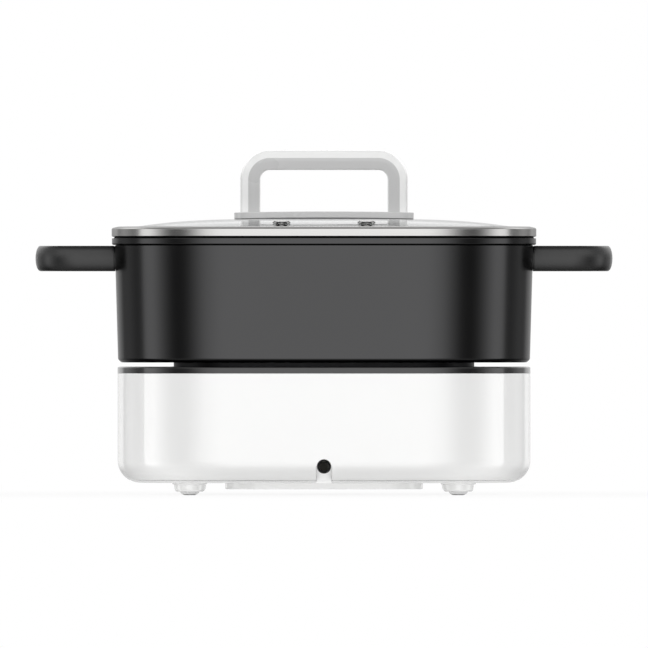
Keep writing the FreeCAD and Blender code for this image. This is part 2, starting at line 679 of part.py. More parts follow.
def make_cover_screws():
    head_z = cover_screw_seat()
    length = cover_post_top - 2 * SCREW_END_GAP - head_z
    return Part.makeCompound([screw(M3_DIAMETER, head_z, length, x, y)
                              for x, y in at_corners(platform_screw_spacing)])


# ---------------------------------------------------------------- cord outlet
def make_cord_gland():
    """A bushing pushed into the cord hole from inside, with a bevelled mouth and a stop flange."""
    front = tab_back - CORD_TAB_THICKNESS + GLAND_SETBACK
    back = -half_base + CORD_BOSS_DEPTH
    sleeve = rod_along_y(CORD_HOLE_DIAMETER - 2 * PIECE_CLEARANCE, front, back, 0, cord_z)
    flange = rod_along_y(gland_flange_diameter, back, back + GLAND_FLANGE_THICKNESS, 0, cord_z)
    inside = bore_along_y(CORD_BORE_DIAMETER, front, back + GLAND_FLANGE_THICKNESS, 0, cord_z)
    mouth = Part.makeCone(CORD_BORE_DIAMETER / 2 + GLAND_CHAMFER, CORD_BORE_DIAMETER / 2, GLAND_CHAMFER,
                          Vector(0, front, cord_z), Vector(0, 1, 0))
    return fused([sleeve, flange]).cut([inside, mouth])


# ---------------------------------------------------------------- heater
def element_path():
    """An open rounded square that starts and ends either side of the gap at the back."""
    half, radius, z = ELEMENT_SIDE / 2, ELEMENT_RADIUS, heater_bottom - ELEMENT_RIB_HEIGHT / 2
    inner = half - radius
    points = [Vector(-ELEMENT_GAP / 2, -half, z)]
    edges = []
    for sx, sy, start in ((-1, -1, 270), (-1, 1, 180), (1, 1, 90), (1, -1, 0)):
        centre = Vector(sx * inner, sy * inner, z)
        first, middle, last = (centre + radius * unit(math.radians(start - a)) for a in (0, 45, 90))
        edges.append(Part.LineSegment(points[-1], first).toShape())
        edges.append(Part.Arc(first, middle, last).toShape())
        points.append(last)
    edges.append(Part.LineSegment(points[-1], Vector(ELEMENT_GAP / 2, -half, z)).toShape())
    return Part.Wire(edges)


def element_tube():
    path = element_path()
    start = path.Edges[0].Vertexes[0].Point
    circle = Part.Circle(start, Vector(1, 0, 0), ELEMENT_DIAMETER / 2).toShape()
    return swept(Part.Wire([circle]), path)


def make_heating_element():
    z = heater_bottom - ELEMENT_RIB_HEIGHT / 2
    pins = [rod(TERMINAL_DIAMETER, z - TERMINAL_LENGTH, z, sx * terminal_x, -ELEMENT_SIDE / 2)
            for sx in (-1, 1)]
    return fused([element_tube()] + pins)


def make_heater_plate():
    """A cast plate with a rib that holds the element, and bosses that carry it."""
    plate = prism(HEATER_SIDE, heater_bottom, heater_top)
    plate = plate.makeFillet(HEATER_EDGE_RADIUS, edges_at(plate, heater_top))
    rib_outer = prism(ELEMENT_SIDE + ELEMENT_RIB_WIDTH, heater_bottom - ELEMENT_RIB_HEIGHT, heater_bottom,
                      ELEMENT_RADIUS + ELEMENT_RIB_WIDTH / 2)
    rib_inner = prism(ELEMENT_SIDE - ELEMENT_RIB_WIDTH, heater_bottom - ELEMENT_RIB_HEIGHT, heater_bottom,
                      ELEMENT_RADIUS - ELEMENT_RIB_WIDTH / 2)
    notch = block((2 * terminal_x + 2 * ELEMENT_DIAMETER, ELEMENT_RIB_WIDTH + 2 * OVERCUT, ELEMENT_RIB_HEIGHT),
                  0, -ELEMENT_SIDE / 2, heater_bottom - ELEMENT_RIB_HEIGHT)
    boss_bottom = heater_bottom - HEATER_BOSS_LENGTH
    bosses = [rod(HEATER_BOSS_DIAMETER, boss_bottom, heater_bottom, x, y)
              for x, y in at_corners(HEATER_BOSS_SPACING)]
    threads = [rod(M4_DIAMETER, boss_bottom - OVERCUT, boss_bottom + HEATER_SCREW_GRIP + SCREW_END_GAP, x, y)
               for x, y in at_corners(HEATER_BOSS_SPACING)]
    window = bore(SENSOR_DIAMETER + 2 * SENSOR_CLEARANCE, heater_bottom, heater_top)
    body = fused([plate, rib_outer.cut([rib_inner, notch])] + bosses)
    return body.cut(threads + [window, element_tube()])


def make_heater_seal():
    """A silicone ring that closes the gap between the heater and the top panel."""
    outer = prism(HEATER_SIDE + 2 * SEAL_WIDTH, heater_bottom, panel_top)
    return outer.cut(prism(HEATER_SIDE + PIECE_CLEARANCE, heater_bottom - OVERCUT, panel_top + OVERCUT))


def make_reflector_pan():
    pan = prism(pan_side, pan_bottom, pan_bottom + PAN_DEPTH)
    pan = pan.cut(prism(pan_side - 2 * PAN_SHEET, pan_floor, pan_bottom + PAN_DEPTH + OVERCUT))
    holes = [bore(m4_clear, pan_bottom, pan_floor, x, y) for x, y in at_corners(HEATER_BOSS_SPACING)]
    holes += [bore(TERMINAL_DIAMETER + 2 * TERMINAL_AIR_GAP, pan_bottom, pan_floor,
                   sx * terminal_x, -ELEMENT_SIDE / 2) for sx in (-1, 1)]
    return pan.cut(holes)


def make_heater_straps():
    """Two steel straps that carry the heater between the housing's tall posts."""
    straps = []
    for sy in (-1, 1):
        y = sy * HEATER_BOSS_SPACING / 2
        strap = raised(rounded_rectangle(strap_length, STRAP_WIDTH, STRAP_CORNER_RADIUS, strap_bottom),
                       STRAP_THICKNESS)
        strap.translate(Vector(0, y, 0))
        xs = [sx * s / 2 for sx in (-1, 1) for s in (HEATER_BOSS_SPACING, strap_post_spacing)]
        straps.append(strap.cut([bore(m4_clear, strap_bottom, pan_bottom, x, y) for x in xs]))
    return Part.makeCompound(straps)


def make_heater_screws():
    upper = STRAP_THICKNESS + PAN_SHEET + HEATER_SCREW_GRIP
    lower = STRAP_THICKNESS + STRAP_SCREW_LENGTH - SCREW_END_GAP
    screws = [screw(M4_DIAMETER, strap_bottom, upper, x, y) for x, y in at_corners(HEATER_BOSS_SPACING)]
    screws += [screw(M4_DIAMETER, pan_bottom, lower, x, y, up=-1)
               for x, y in at_corners(strap_post_spacing, HEATER_BOSS_SPACING)]
    return Part.makeCompound(screws)


def make_thermal_fuse():
    """A cut-out fuse in a clip on the floor of the reflector pan."""
    axis_z = pan_floor + FUSE_CLIP_WALL + FUSE_DIAMETER / 2
    clip = block((FUSE_CLIP_LENGTH, FUSE_DIAMETER + 2 * FUSE_CLIP_WALL, axis_z - pan_floor),
                 0, FUSE_OFFSET, pan_floor)
    body = Part.makeCylinder(FUSE_DIAMETER / 2, FUSE_LENGTH, Vector(-FUSE_LENGTH / 2, FUSE_OFFSET, axis_z),
                             Vector(1, 0, 0))
    return fused([body, clip])


# ---------------------------------------------------------------- temperature sensor
def make_sensor_cap():
    """A cup pressed against the pot by its spring. Its flange stops it under the heater."""
    outer, flange, bevel = SENSOR_DIAMETER / 2, sensor_flange_diameter / 2, SENSOR_BEVEL
    inner, shoulder = outer - SENSOR_WALL, sensor_bottom + SENSOR_FLANGE_THICKNESS
    return turned([(0, heater_top), (outer - bevel, heater_top), (outer, heater_top - bevel),
                   (outer, shoulder), (flange, shoulder), (flange, sensor_bottom), (inner, sensor_bottom),
                   (inner, sensor_roof), (0, sensor_roof)])


def make_thermistor():
    return block(THERMISTOR_SIZE, 0, 0, sensor_roof - THERMISTOR_SIZE[2])


def make_sensor_guide():
    """The sleeve round the sensor, clamped between the reflector pan and the heater."""
    inside = bore(sensor_flange_diameter + 2 * SENSOR_CLEARANCE, pan_floor, heater_bottom)
    return rod(sensor_guide_diameter, pan_floor, heater_bottom).cut(inside)


def make_sensor_spring():
    """A coil spring between the floor of the reflector pan and the roof of the sensor cap."""
    radius = SPRING_DIAMETER / 2 - SPRING_WIRE / 2
    low = pan_floor + SPRING_WIRE / 2 + SPRING_END_GAP
    high = sensor_roof - SPRING_WIRE / 2 - SPRING_END_GAP
    helix = Part.makeHelix((high - low) / SPRING_TURNS, high - low, radius)
    helix.translate(Vector(0, 0, low))
    circle = Part.Circle(Vector(radius, 0, low), Vector(0, 1, 0), SPRING_WIRE / 2).toShape()
    return swept(Part.Wire([circle]), Part.Wire(helix.Edges))


# ---------------------------------------------------------------- electrics
def make_power_board():
    return block(BOARD_SIZE, 0, 0, board_z).cut([bore(m3_clear, board_z, board_top, x, y)
                                                 for x, y in board_holes()])


def make_board_screws():
    return Part.makeCompound([screw(M3_DIAMETER, board_top, board_screw_reach, x, y, up=-1)
                              for x, y in board_holes()])


def make_transformer():
    core = block(TRANSFORMER_SIZE, *TRANSFORMER_PLACE, board_top)
    winding = block(WINDING_SIZE, *TRANSFORMER_PLACE, board_top)
    return fused([core, winding])


def make_relay():
    return block(RELAY_SIZE, *RELAY_PLACE, board_top)


def make_capacitors():
    return Part.makeCompound([rod(CAPACITOR_DIAMETER, board_top, board_top + CAPACITOR_HEIGHT, x, y)
                              for x, y in CAPACITOR_PLACES])


def make_heat_sink():
    """A finned plate standing behind the power switch."""
    length, thickness, height = HEAT_SINK_SIZE
    x, y = HEAT_SINK_PLACE
    pitch = (length - FIN_THICKNESS) / (FIN_COUNT - 1)
    fins = [block((FIN_THICKNESS, FIN_LENGTH + thickness, height), x + (n - (FIN_COUNT - 1) / 2) * pitch,
                  y - FIN_LENGTH / 2, board_top) for n in range(FIN_COUNT)]
    return fused([block(HEAT_SINK_SIZE, x, y, board_top)] + fins)


def make_terminal_block():
    """The screw terminals where the cord's cores end, standing on the housing floor."""
    y = -half_base + CORD_BOSS_DEPTH + GLAND_FLANGE_THICKNESS + TERMINAL_BLOCK_GAP + TERMINAL_BLOCK_SIZE[1] / 2
    body = block(TERMINAL_BLOCK_SIZE, 0, y, floor_top)
    pitch = TERMINAL_BLOCK_SIZE[0] / TERMINAL_COUNT
    top = floor_top + TERMINAL_BLOCK_SIZE[2]
    wells = [rod(TERMINAL_WELL_DIAMETER, top - TERMINAL_WELL_DEPTH, top + OVERCUT,
                 (n - (TERMINAL_COUNT - 1) / 2) * pitch, y) for n in range(TERMINAL_COUNT)]
    return body.cut(wells)


def make_control_board():
    length, height = CONTROL_BOARD_SIZE
    board = Part.makeBox(length, BOARD_SIZE[2], height,
                         Vector(-length / 2, control_board_y - BOARD_SIZE[2],
                                knob_z + CONTROL_BOARD_LIFT - height / 2))
    return board.cut([bore_along_y(m3_clear, control_board_y - BOARD_SIZE[2], control_board_y, x, knob_z)
                      for x in control_board_holes()])


def make_control_screws():
    """Two screws driven from inside, through the board into the bosses of the front wall."""
    screws = []
    for x in control_board_holes():
        one = screw(M3_DIAMETER, 0, board_screw_reach, 0, 0)
        one.rotate(Vector(0, 0, 0), Vector(1, 0, 0), -90)
        one.translate(Vector(x, control_board_y - BOARD_SIZE[2], knob_z))
        screws.append(one)
    return Part.makeCompound(screws)


def make_indicator_led():
    return rod_along_y(LED_DIAMETER, control_board_y, control_board_y + LED_LENGTH, 0, indicator_z)


def make_indicator_lens():
    """A clear light pipe from the LED to just proud of the dial ring, with a stop collar."""
    pipe = rod_along_y(INDICATOR_DIAMETER, control_board_y + LED_LENGTH, ring_front + INDICATOR_PROUD,
                       0, indicator_z)
    collar = rod_along_y(LENS_COLLAR_DIAMETER, front_inner - LENS_COLLAR_THICKNESS, front_inner, 0, indicator_z)
    return fused([pipe, collar])


# ---------------------------------------------------------------- knob
def make_potentiometer():
    """The rotary control: a square body behind the wall and a bushing through it."""
    half = POTENTIOMETER_SIZE / 2
    body = Part.makeBox(POTENTIOMETER_SIZE, POTENTIOMETER_DEPTH, POTENTIOMETER_SIZE,
                        Vector(-half, control_board_y, knob_z - half))
    bushing = rod_along_y(BUSHING_DIAMETER, front_inner, bushing_end, 0, knob_z)
    inside = rod_along_y(SHAFT_DIAMETER + 2 * SHAFT_CLEARANCE, front_inner - POTENTIOMETER_DEPTH / 2,
                         bushing_end + OVERCUT, 0, knob_z)
    return fused([body, bushing]).cut(inside)


def make_potentiometer_nut():
    corner = NUT_WIDTH / math.sqrt(3)
    angles = [math.radians(60 * n) for n in range(7)]
    points = [Vector(corner * math.cos(a), ring_front, knob_z + corner * math.sin(a)) for a in angles]
    nut = Part.Face(Part.makePolygon(points)).extrude(Vector(0, NUT_THICKNESS, 0))
    return nut.cut(bore_along_y(BUSHING_DIAMETER + 2 * THREAD_CLEARANCE, ring_front,
                                ring_front + NUT_THICKNESS, 0, knob_z))


def make_dial_ring():
    ring = rounded_disc(dial_ring_diameter, ring_front - DIAL_RING_THICKNESS, ring_front, DIAL_RING_EDGE_RADIUS)
    return ring.cut([bushing_hole(), indicator_hole()])


def rounded_disc(diameter, back, front, radius):
    """A disc on the knob's axis whose front edge is rounded."""
    disc = rod_along_y(diameter, back, front, 0, knob_z)
    rim = [e for e in disc.Edges if e.BoundBox.YMin > front - OVERCUT / 100]
    return disc.makeFillet(radius, rim)


def make_knob():
    """A hollow cap with a hub that grips the flat of the shaft."""
    cap = rounded_disc(KNOB_DIAMETER, knob_back, knob_back + KNOB_DEPTH, KNOB_EDGE_RADIUS)
    roof = knob_back + KNOB_DEPTH - KNOB_WALL
    cavity = rod_along_y(KNOB_DIAMETER - 2 * KNOB_WALL, knob_back - OVERCUT, roof, 0, knob_z)
    hub = rod_along_y(KNOB_HUB_DIAMETER, bushing_end + KNOB_GAP, roof, 0, knob_z)
    return fused([cap.cut(cavity), hub]).cut(shaft_rod(KNOB_FIT))


def shaft_rod(gap=0.0):
    """The control's shaft, flattened where the knob grips it."""
    back = front_inner - POTENTIOMETER_DEPTH / 2 + SHAFT_END_GAP
    front = knob_back + KNOB_DEPTH - KNOB_WALL + SHAFT_END_GAP
    shaft = rod_along_y(SHAFT_DIAMETER + 2 * gap, back, front + gap, 0, knob_z)
    flat = block((2 * SHAFT_DIAMETER, front, SHAFT_DIAMETER), 0, bushing_end + front / 2,
                 knob_z + SHAFT_DIAMETER / 2 - SHAFT_FLAT_DEPTH + gap)
    return shaft.cut(flat)


# ---------------------------------------------------------------- pot
def pot_outside():
    body = tapered(pot_bottom_side, pot_bottom, pot_top_side, flange_bottom)
    return body.makeFillet(POT_BOTTOM_RADIUS, edges_at(body, pot_bottom))


def pot_inside():
    floor = pot_bottom + POT_FLOOR
    side = pot_bottom_side - 2 * POT_WALL
    cavity = tapered(side, floor, mouth_side, lip_top)
    return cavity.makeFillet(POT_INNER_RADIUS, edges_at(cavity, floor))


def grip_z():
    return flange_bottom - GRIP_DROP - GRIP_HEIGHT / 2


def grip_bar_y():
    return (GRIP_SPAN - GRIP_BAR_WIDTH) / 2


def pot_lugs(gap=0.0):
    """Cast lugs that the pot handles slide over, two on each side."""
    lugs = []
    inner = pot_bottom_side / 2 - POT_WALL / 2
    length = pot_top_side / 2 + LUG_LENGTH + gap - inner
    for sx, sy in CORNERS:
        lugs.append(block((length, LUG_WIDTH + 2 * gap, LUG_HEIGHT + 2 * gap),
                          sx * (inner + length / 2), sy * grip_bar_y(), grip_z() - LUG_HEIGHT / 2 - gap))
    return lugs


def lug_screw_spots():
    x = pot_top_side / 2 + LUG_SCREW_OFFSET
    return [(sx * x, sy * grip_bar_y()) for sx, sy in CORNERS]


def make_pot_body():
    flange = prism(flange_side, flange_bottom, flange_top)
    flange = flange.makeChamfer(FLANGE_CHAMFER, edges_at(flange, flange_bottom))
    lip = prism(flange_side - 2 * LIP_INSET, flange_top, lip_top)
    recess = prism(HEATER_SIDE + 2 * POT_RECESS_CLEARANCE, pot_bottom - OVERCUT, heater_top)
    body = fused([pot_outside(), flange, lip] + pot_lugs())
    threads = [rod(M4_DIAMETER, grip_z() - LUG_HEIGHT / 2 - OVERCUT, grip_z() + SCREW_END_GAP, x, y)
               for x, y in lug_screw_spots()]
    return body.cut([pot_inside(), recess] + threads)


def grip_section(x):
    """The grip's section, flat above and below, with half-ellipses for its sides."""
    flat = GRIP_BAR_WIDTH / 2 - GRIP_BULGE
    y, half, z = -grip_bar_y(), GRIP_HEIGHT / 2, grip_z()
    corners = [Vector(x, y - flat, z - half), Vector(x, y + flat, z - half),
               Vector(x, y + flat, z + half), Vector(x, y - flat, z + half)]
    edges = [Part.LineSegment(corners[0], corners[1]).toShape(),
             half_ellipse(corners[1], corners[2], Vector(x, y + flat + GRIP_BULGE, z)),
             Part.LineSegment(corners[2], corners[3]).toShape(),
             half_ellipse(corners[3], corners[0], Vector(x, y - flat - GRIP_BULGE, z))]
    return Part.Wire(edges)


def half_ellipse(first, last, crown):
    """Half an ellipse whose long axis joins first and last, and whose short one reaches the crown."""
    curve = Part.Ellipse(first, crown, (first + last) * 0.5)
    return Part.ArcOfEllipse(curve, 0, math.pi).toShape()


def make_pot_handle(side):
    """A loop grip whose two ends fit over the pot's lugs and lie against its wall."""
    x0 = pot_bottom_side / 2 - POT_WALL
    reach = pot_top_side / 2 + GRIP_REACH - GRIP_BAR_WIDTH / 2 - x0
    path = loop_path(Vector(x0, -grip_bar_y(), grip_z()), Vector(1, 0, 0), Vector(0, 1, 0),
                     reach, 2 * grip_bar_y(), GRIP_CORNER_RADIUS - GRIP_BAR_WIDTH / 2)
    grip = swept(grip_section(x0), path)
    if side < 0:
        grip = grip.mirror(Vector(0, 0, 0), Vector(1, 0, 0))
    bottom = grip_z() - GRIP_HEIGHT / 2 - OVERCUT
    tools = [pot_outside()] + pot_lugs(LUG_CLEARANCE)
    for x, y in lug_screw_spots():
        tools.append(rod(m4_clear, bottom, grip_z(), x, y))
        tools.append(rod(m4_head, bottom, handle_screw_seat(), x, y))
    return grip.cut(tools)


def handle_screw_seat():
    return grip_z() - GRIP_HEIGHT / 2 + M4_DIAMETER * HEAD_HEIGHT_SHARE + HEAD_SINK


def make_handle_screws():
    seat = handle_screw_seat()
    return Part.makeCompound([screw(M4_DIAMETER, seat, grip_z() - seat, x, y) for x, y in lug_screw_spots()])


# ---------------------------------------------------------------- lid
def dome(side, z, rise):
    """A low dome over a rounded square: steep at its edge and nearly flat in the middle."""
    radius = CORNER_RADIUS + (side - BASE_SIDE) / 2
    wires = []
    for n in range(DOME_SECTIONS):
        share = 1 - (1 - DOME_CAP_SHARE) * n / (DOME_SECTIONS - 1)
        wires.append(outline(side * share, z + rise * (1 - share ** DOME_POWER), radius * share))
    return Part.makeLoft(wires, True, False)


def make_vents():
    return [vent_at(sx * VENT_SPACING / 2) for sx in (-1, 1)]


def vent_slope():
    """The dome's slope, in degrees, and its height where the vents stand."""
    share = vent_offset / (dome_side / 2)
    slope = DOME_RISE * DOME_POWER * share ** (DOME_POWER - 1) / (dome_side / 2)
    return math.degrees(math.atan(slope)), glass_top + DOME_RISE * (1 - share ** DOME_POWER)


def vent_at(x):
    """A steel eyelet through the glass, with round windows under its domed cap."""
    cap, neck, inner = VENT_DIAMETER / 2, VENT_NECK_DIAMETER / 2, VENT_BORE_DIAMETER / 2
    below = GLASS_THICKNESS + VENT_FLANGE
    outside, hollow = ([(cap * r, VENT_HEIGHT * z) for r, z in profile]
                       for profile in (VENT_CAP_PROFILE, VENT_HOLLOW_PROFILE))
    body = turned(outside + [(neck, 0), (neck, -GLASS_THICKNESS), (cap, -GLASS_THICKNESS), (cap, -below),
                             (inner, -below), (inner, hollow[0][1])] + hollow)
    windows = []
    for n in range(VENT_WINDOW_COUNT):
        direction = unit(math.radians(360 * (n + 0.5) / VENT_WINDOW_COUNT))
        windows.append(Part.makeCylinder(VENT_WINDOW_DIAMETER / 2, VENT_DIAMETER,
                                         Vector(0, 0, VENT_WINDOW_HEIGHT), direction))
    slope, height = vent_slope()
    vent = body.cut(windows)
    vent.rotate(Vector(0, 0, 0), Vector(1, 0, 0), slope)
    vent.translate(Vector(x, -vent_offset, height))
    return vent


def vent_hole(x):
    slope, height = vent_slope()
    hole = rod(VENT_NECK_DIAMETER + 2 * PIECE_CLEARANCE, -2 * GLASS_THICKNESS, GLASS_THICKNESS)
    hole.rotate(Vector(0, 0, 0), Vector(1, 0, 0), slope)
    hole.translate(Vector(x, -vent_offset, height))
    return hole


def lid_screw_spots():
    return [(sx * arch_leg_x, 0.0) for sx in (-1, 1)]


def make_lid_glass(vents):
    band = prism(glass_side, glass_bottom, glass_top)
    crown = dome(dome_side, glass_top, DOME_RISE)
    hollow = dome(dome_side, glass_bottom, DOME_RISE)
    glass = fused([band, crown]).cut(hollow)
    holes = [bore(glass_hole, glass_bottom, dome_top, x, y) for x, y in lid_screw_spots()]
    holes += [vent_hole(sx * VENT_SPACING / 2) for sx in (-1, 1)]
    return glass.cut(holes + vents)


def make_lid_rim():
    """A sheet steel channel folded round the glass, with a skirt that drops into the pot's mouth."""
    body = prism(lid_side, lip_top, rim_top)
    body = body.makeFillet(RIM_EDGE_RADIUS, edges_at(body, rim_top))
    skirt = prism(skirt_side, lip_top - SKIRT_DEPTH, lip_top)
    channel = prism(lid_side - 2 * RIM_SHEET, lip_top + RIM_FLOOR, glass_top)
    well = prism(skirt_side - 2 * RIM_SHEET, lip_top - SKIRT_DEPTH - OVERCUT, rim_top + OVERCUT)
    mouth = prism(lid_side - 2 * RIM_LIP_WIDTH, glass_top, rim_top + OVERCUT)
    return fused([body, skirt]).cut([channel, well, mouth])


def bowed_slab(z0, z1):
    """A slab bowed to the dome along X, larger all round than the handle's plate."""
    half, back = plate_length / 2 + OVERCUT, -plate_depth / 2 - OVERCUT
    bow = PLATE_BOW * (2 * half / plate_length) ** 2

    def curve(z):
        return Part.Arc(Vector(-half, back, z - bow), Vector(0, back, z), Vector(half, back, z - bow)).toShape()

    ends = [Part.LineSegment(Vector(x, back, z0 - bow), Vector(x, back, z1 - bow)).toShape()
            for x in (-half, half)]
    face = Part.Face(Part.Wire(Part.__sortEdges__([curve(z0), ends[1], curve(z1), ends[0]])))
    return face.extrude(Vector(0, plate_depth + 2 * OVERCUT, 0))


def plate_plan(inset):
    wire = rounded_rectangle(plate_length - 2 * inset, plate_depth - 2 * inset, PLATE_CORNER_RADIUS - inset,
                             rim_top)
    return raised(wire, plate_top + OVERCUT - rim_top)


def make_lid_handle_plate():
    plate = bowed_slab(plate_bottom, plate_top).common(plate_plan(0))
    return plate.cut(plate_holes())


def plate_holes():
    return [bore(m4_clear, rim_top, plate_top, x, y) for x, y in lid_screw_spots()]


def make_lid_handle_gasket(glass_crown):
    """A silicone sheet that fills the space between the plate and the dome."""
    gasket = bowed_slab(plate_bottom - 2 * GASKET_THICKNESS, plate_bottom).common(plate_plan(GASKET_INSET))
    return gasket.cut(plate_holes() + [glass_crown])


def arch_section(x, z):
    """The handle's section: rounded inside, a flat face each side, and a bevel to its outer face."""
    depth, fillet = ARCH_DEPTH / 2, ARCH_INNER_FILLET
    outer = depth - ARCH_CHAMFER_DEPTH
    corner = fillet * (1 - math.sqrt(0.5))

    def at(n, y):
        return Vector(x - n, y, z)

    rounds = [Part.Arc(at(0, s * (depth - fillet)), at(corner, s * (depth - corner)), at(fillet, s * depth))
              for s in (-1, 1)]
    corners = [at(fillet, -depth), at(ARCH_FACE, -depth), at(ARCH_THICKNESS, -outer), at(ARCH_THICKNESS, outer),
               at(ARCH_FACE, depth), at(fillet, depth)]
    edges = [Part.LineSegment(a, b).toShape() for a, b in zip(corners, corners[1:])]
    edges += [arc.toShape() for arc in rounds]
    edges.append(Part.LineSegment(at(0, -(depth - fillet)), at(0, depth - fillet)).toShape())
    return Part.Wire(Part.__sortEdges__(edges))


def make_lid_handle():
    """The arch: its feet are cut to the bow of the plate that they stand on."""
    z0 = plate_top - PLATE_BOW - OVERCUT
    left = -ARCH_OPENING_WIDTH / 2
    path = loop_path(Vector(left, 0, z0), Vector(0, 0, 1), Vector(1, 0, 0),
                     plate_top + ARCH_OPENING_HEIGHT - z0, ARCH_OPENING_WIDTH, ARCH_INNER_RADIUS)
    arch = swept(arch_section(left, z0), path)
    below = bowed_slab(plate_bottom, plate_top)
    pilots = [rod(M4_DIAMETER, z0 - OVERCUT, plate_top + LID_SCREW_GRIP + SCREW_END_GAP, x, y)
              for x, y in lid_screw_spots()]
    return arch.cut([below] + pilots)


def under_glass(x):
    share = abs(x) / (dome_side / 2)
    return glass_bottom + DOME_RISE * (1 - share ** DOME_POWER)


def seal_washer_bottom():
    """The soft washer's lower face, low enough to leave its thickness under the curved glass."""
    return under_glass(arch_leg_x + WASHER_DIAMETER / 2) - SEAL_WASHER_THICKNESS


def make_seal_washers(glass):
    """Soft washers whose upper faces follow the underside of the glass."""
    bottom = seal_washer_bottom()
    inside_glass = under_glass(arch_leg_x) + GLASS_THICKNESS / 2
    return Part.makeCompound([rod(WASHER_DIAMETER, bottom, inside_glass, x, y)
                              .cut([glass, bore(glass_hole, bottom, dome_top, x, y)])
                              for x, y in lid_screw_spots()])


def make_lid_washers():
    top = seal_washer_bottom()
    return Part.makeCompound([rod(STEEL_WASHER_DIAMETER, top - WASHER_THICKNESS, top, x, y)
                              .cut(bore(m4_clear, top - WASHER_THICKNESS, top, x, y))
                              for x, y in lid_screw_spots()])


def make_lid_screws():
    head_z = seal_washer_bottom() - WASHER_THICKNESS
    return Part.makeCompound([screw(M4_DIAMETER, head_z, plate_top + LID_SCREW_GRIP - head_z, x, y)
                              for x, y in lid_screw_spots()])


# ---------------------------------------------------------------- the whole assembly
def base_nodes():
    nodes = {
        "base_housing": make_base_housing(),
        "top_panel": make_top_panel(),
        "bottom_cover": make_bottom_cover(),
        "base_screws": make_base_screws(),
        "cover_screws": make_cover_screws(),
        "cord_gland": make_cord_gland(),
        "terminal_block": make_terminal_block(),
        "heater_plate": make_heater_plate(),
        "heating_element": make_heating_element(),
        "heater_seal": make_heater_seal(),
        "reflector_pan": make_reflector_pan(),
        "heater_straps": make_heater_straps(),
        "heater_screws": make_heater_screws(),
        "thermal_fuse": make_thermal_fuse(),
        "sensor_guide": make_sensor_guide(),
        "power_board": make_power_board(),
        "board_screws": make_board_screws(),
        "transformer": make_transformer(),
        "relay": make_relay(),
        "capacitors": make_capacitors(),
        "heat_sink": make_heat_sink(),
        "control_board": make_control_board(),
        "control_screws": make_control_screws(),
        "potentiometer": make_potentiometer(),
        "potentiometer_nut": make_potentiometer_nut(),
        "dial_ring": make_dial_ring(),
        "indicator_led": make_indicator_led(),
        "indicator_lens": make_indicator_lens(),
    }
    for sx, sy in CORNERS:
        place = ("front" if sy > 0 else "back") + "_" + ("right" if sx > 0 else "left")
        nodes["foot_" + place] = make_foot(sx * foot_xy, sy * foot_xy)
        nodes["foot_pad_" + place] = make_foot_pad(sx * foot_xy, sy * foot_xy)
    return nodes


def moving_nodes():
    return {
        "sensor_cap": make_sensor_cap(),
        "thermistor": make_thermistor(),
        "sensor_spring": make_sensor_spring(),
        "knob": make_knob(),
        "knob_shaft": shaft_rod(),
        "pot_body": make_pot_body(),
        "pot_handle_left": make_pot_handle(-1),
        "pot_handle_right": make_pot_handle(1),
        "pot_handle_screws": make_handle_screws(),
    }


def lid_nodes():
    vents = make_vents()
    glass = make_lid_glass(vents)
    return {
        "lid_glass": glass,
        "lid_rim": make_lid_rim(),
        "steam_vent_left": vents[0],
        "steam_vent_right": vents[1],
        "lid_handle_plate": make_lid_handle_plate(),
        "lid_handle_gasket": make_lid_handle_gasket(dome(dome_side, glass_top, DOME_RISE)),
        "lid_handle": make_lid_handle(),
        "lid_seal_washers": make_seal_washers(glass),
        "lid_washers": make_lid_washers(),
        "lid_screws": make_lid_screws(),
    }


def export(nodes):
    os.makedirs("parts", exist_ok=True)
    for name, shape in sorted(nodes.items()):
        shape.exportStep("parts/" + name + ".step")


export({**base_nodes(), **moving_nodes(), **lid_nodes()})
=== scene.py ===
import math

import bmesh
import bpy
from mathutils import Matrix, Vector


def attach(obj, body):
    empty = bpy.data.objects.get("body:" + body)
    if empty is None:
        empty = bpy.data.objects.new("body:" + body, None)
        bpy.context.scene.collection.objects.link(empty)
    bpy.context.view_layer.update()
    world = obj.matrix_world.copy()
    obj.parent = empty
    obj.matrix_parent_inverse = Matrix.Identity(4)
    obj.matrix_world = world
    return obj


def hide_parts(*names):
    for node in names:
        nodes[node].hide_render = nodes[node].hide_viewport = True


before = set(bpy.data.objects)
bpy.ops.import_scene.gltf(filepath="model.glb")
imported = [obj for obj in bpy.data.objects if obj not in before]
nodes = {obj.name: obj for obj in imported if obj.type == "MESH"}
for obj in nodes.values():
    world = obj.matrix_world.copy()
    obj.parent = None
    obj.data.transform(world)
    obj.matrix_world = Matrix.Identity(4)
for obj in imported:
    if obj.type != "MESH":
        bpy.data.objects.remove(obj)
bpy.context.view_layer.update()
mm = 0.001
print("frame loaded:", len(nodes), "nodes")


# plan shared by every large part: parallel rounded squares with one set of corner centres
plan = {
    "corner": 56.1,        # corner centres lie this far from the middle along X and Y
    "cornerSteps": 28,     # facets in a quarter turn
    "smoothAngle": 28.0,   # edges sharper than this stay crisp
    "cornerTurn": 1.2,     # edges that turn by more than this, in radians, are corners to soften
    "flatWeight": 80,      # how far large flat faces lead the shading of the small ones beside them
}


def newWire(bm, rows, place, closed=False):
    # rows are (out, up) or (out, up, rounding, facets); a corner with a rounding is bevelled
    verts = [bm.verts.new(place(row[0] * mm, row[1] * mm)) for row in rows]
    for first, second in zip(verts, verts[1:]):
        bm.edges.new((first, second))
    if closed:
        bm.edges.new((verts[-1], verts[0]))
    for vert, row in zip(verts, rows):
        if len(row) > 2:
            bmesh.ops.bevel(bm, geom=[vert], offset=row[2] * mm, segments=row[3], profile=0.5,
                            affect="VERTICES", material=-1)


def onlyEdges(geom):
    return [part for part in geom if isinstance(part, bmesh.types.BMEdge)]


def onlyVerts(geom):
    return [part for part in geom if isinstance(part, bmesh.types.BMVert)]


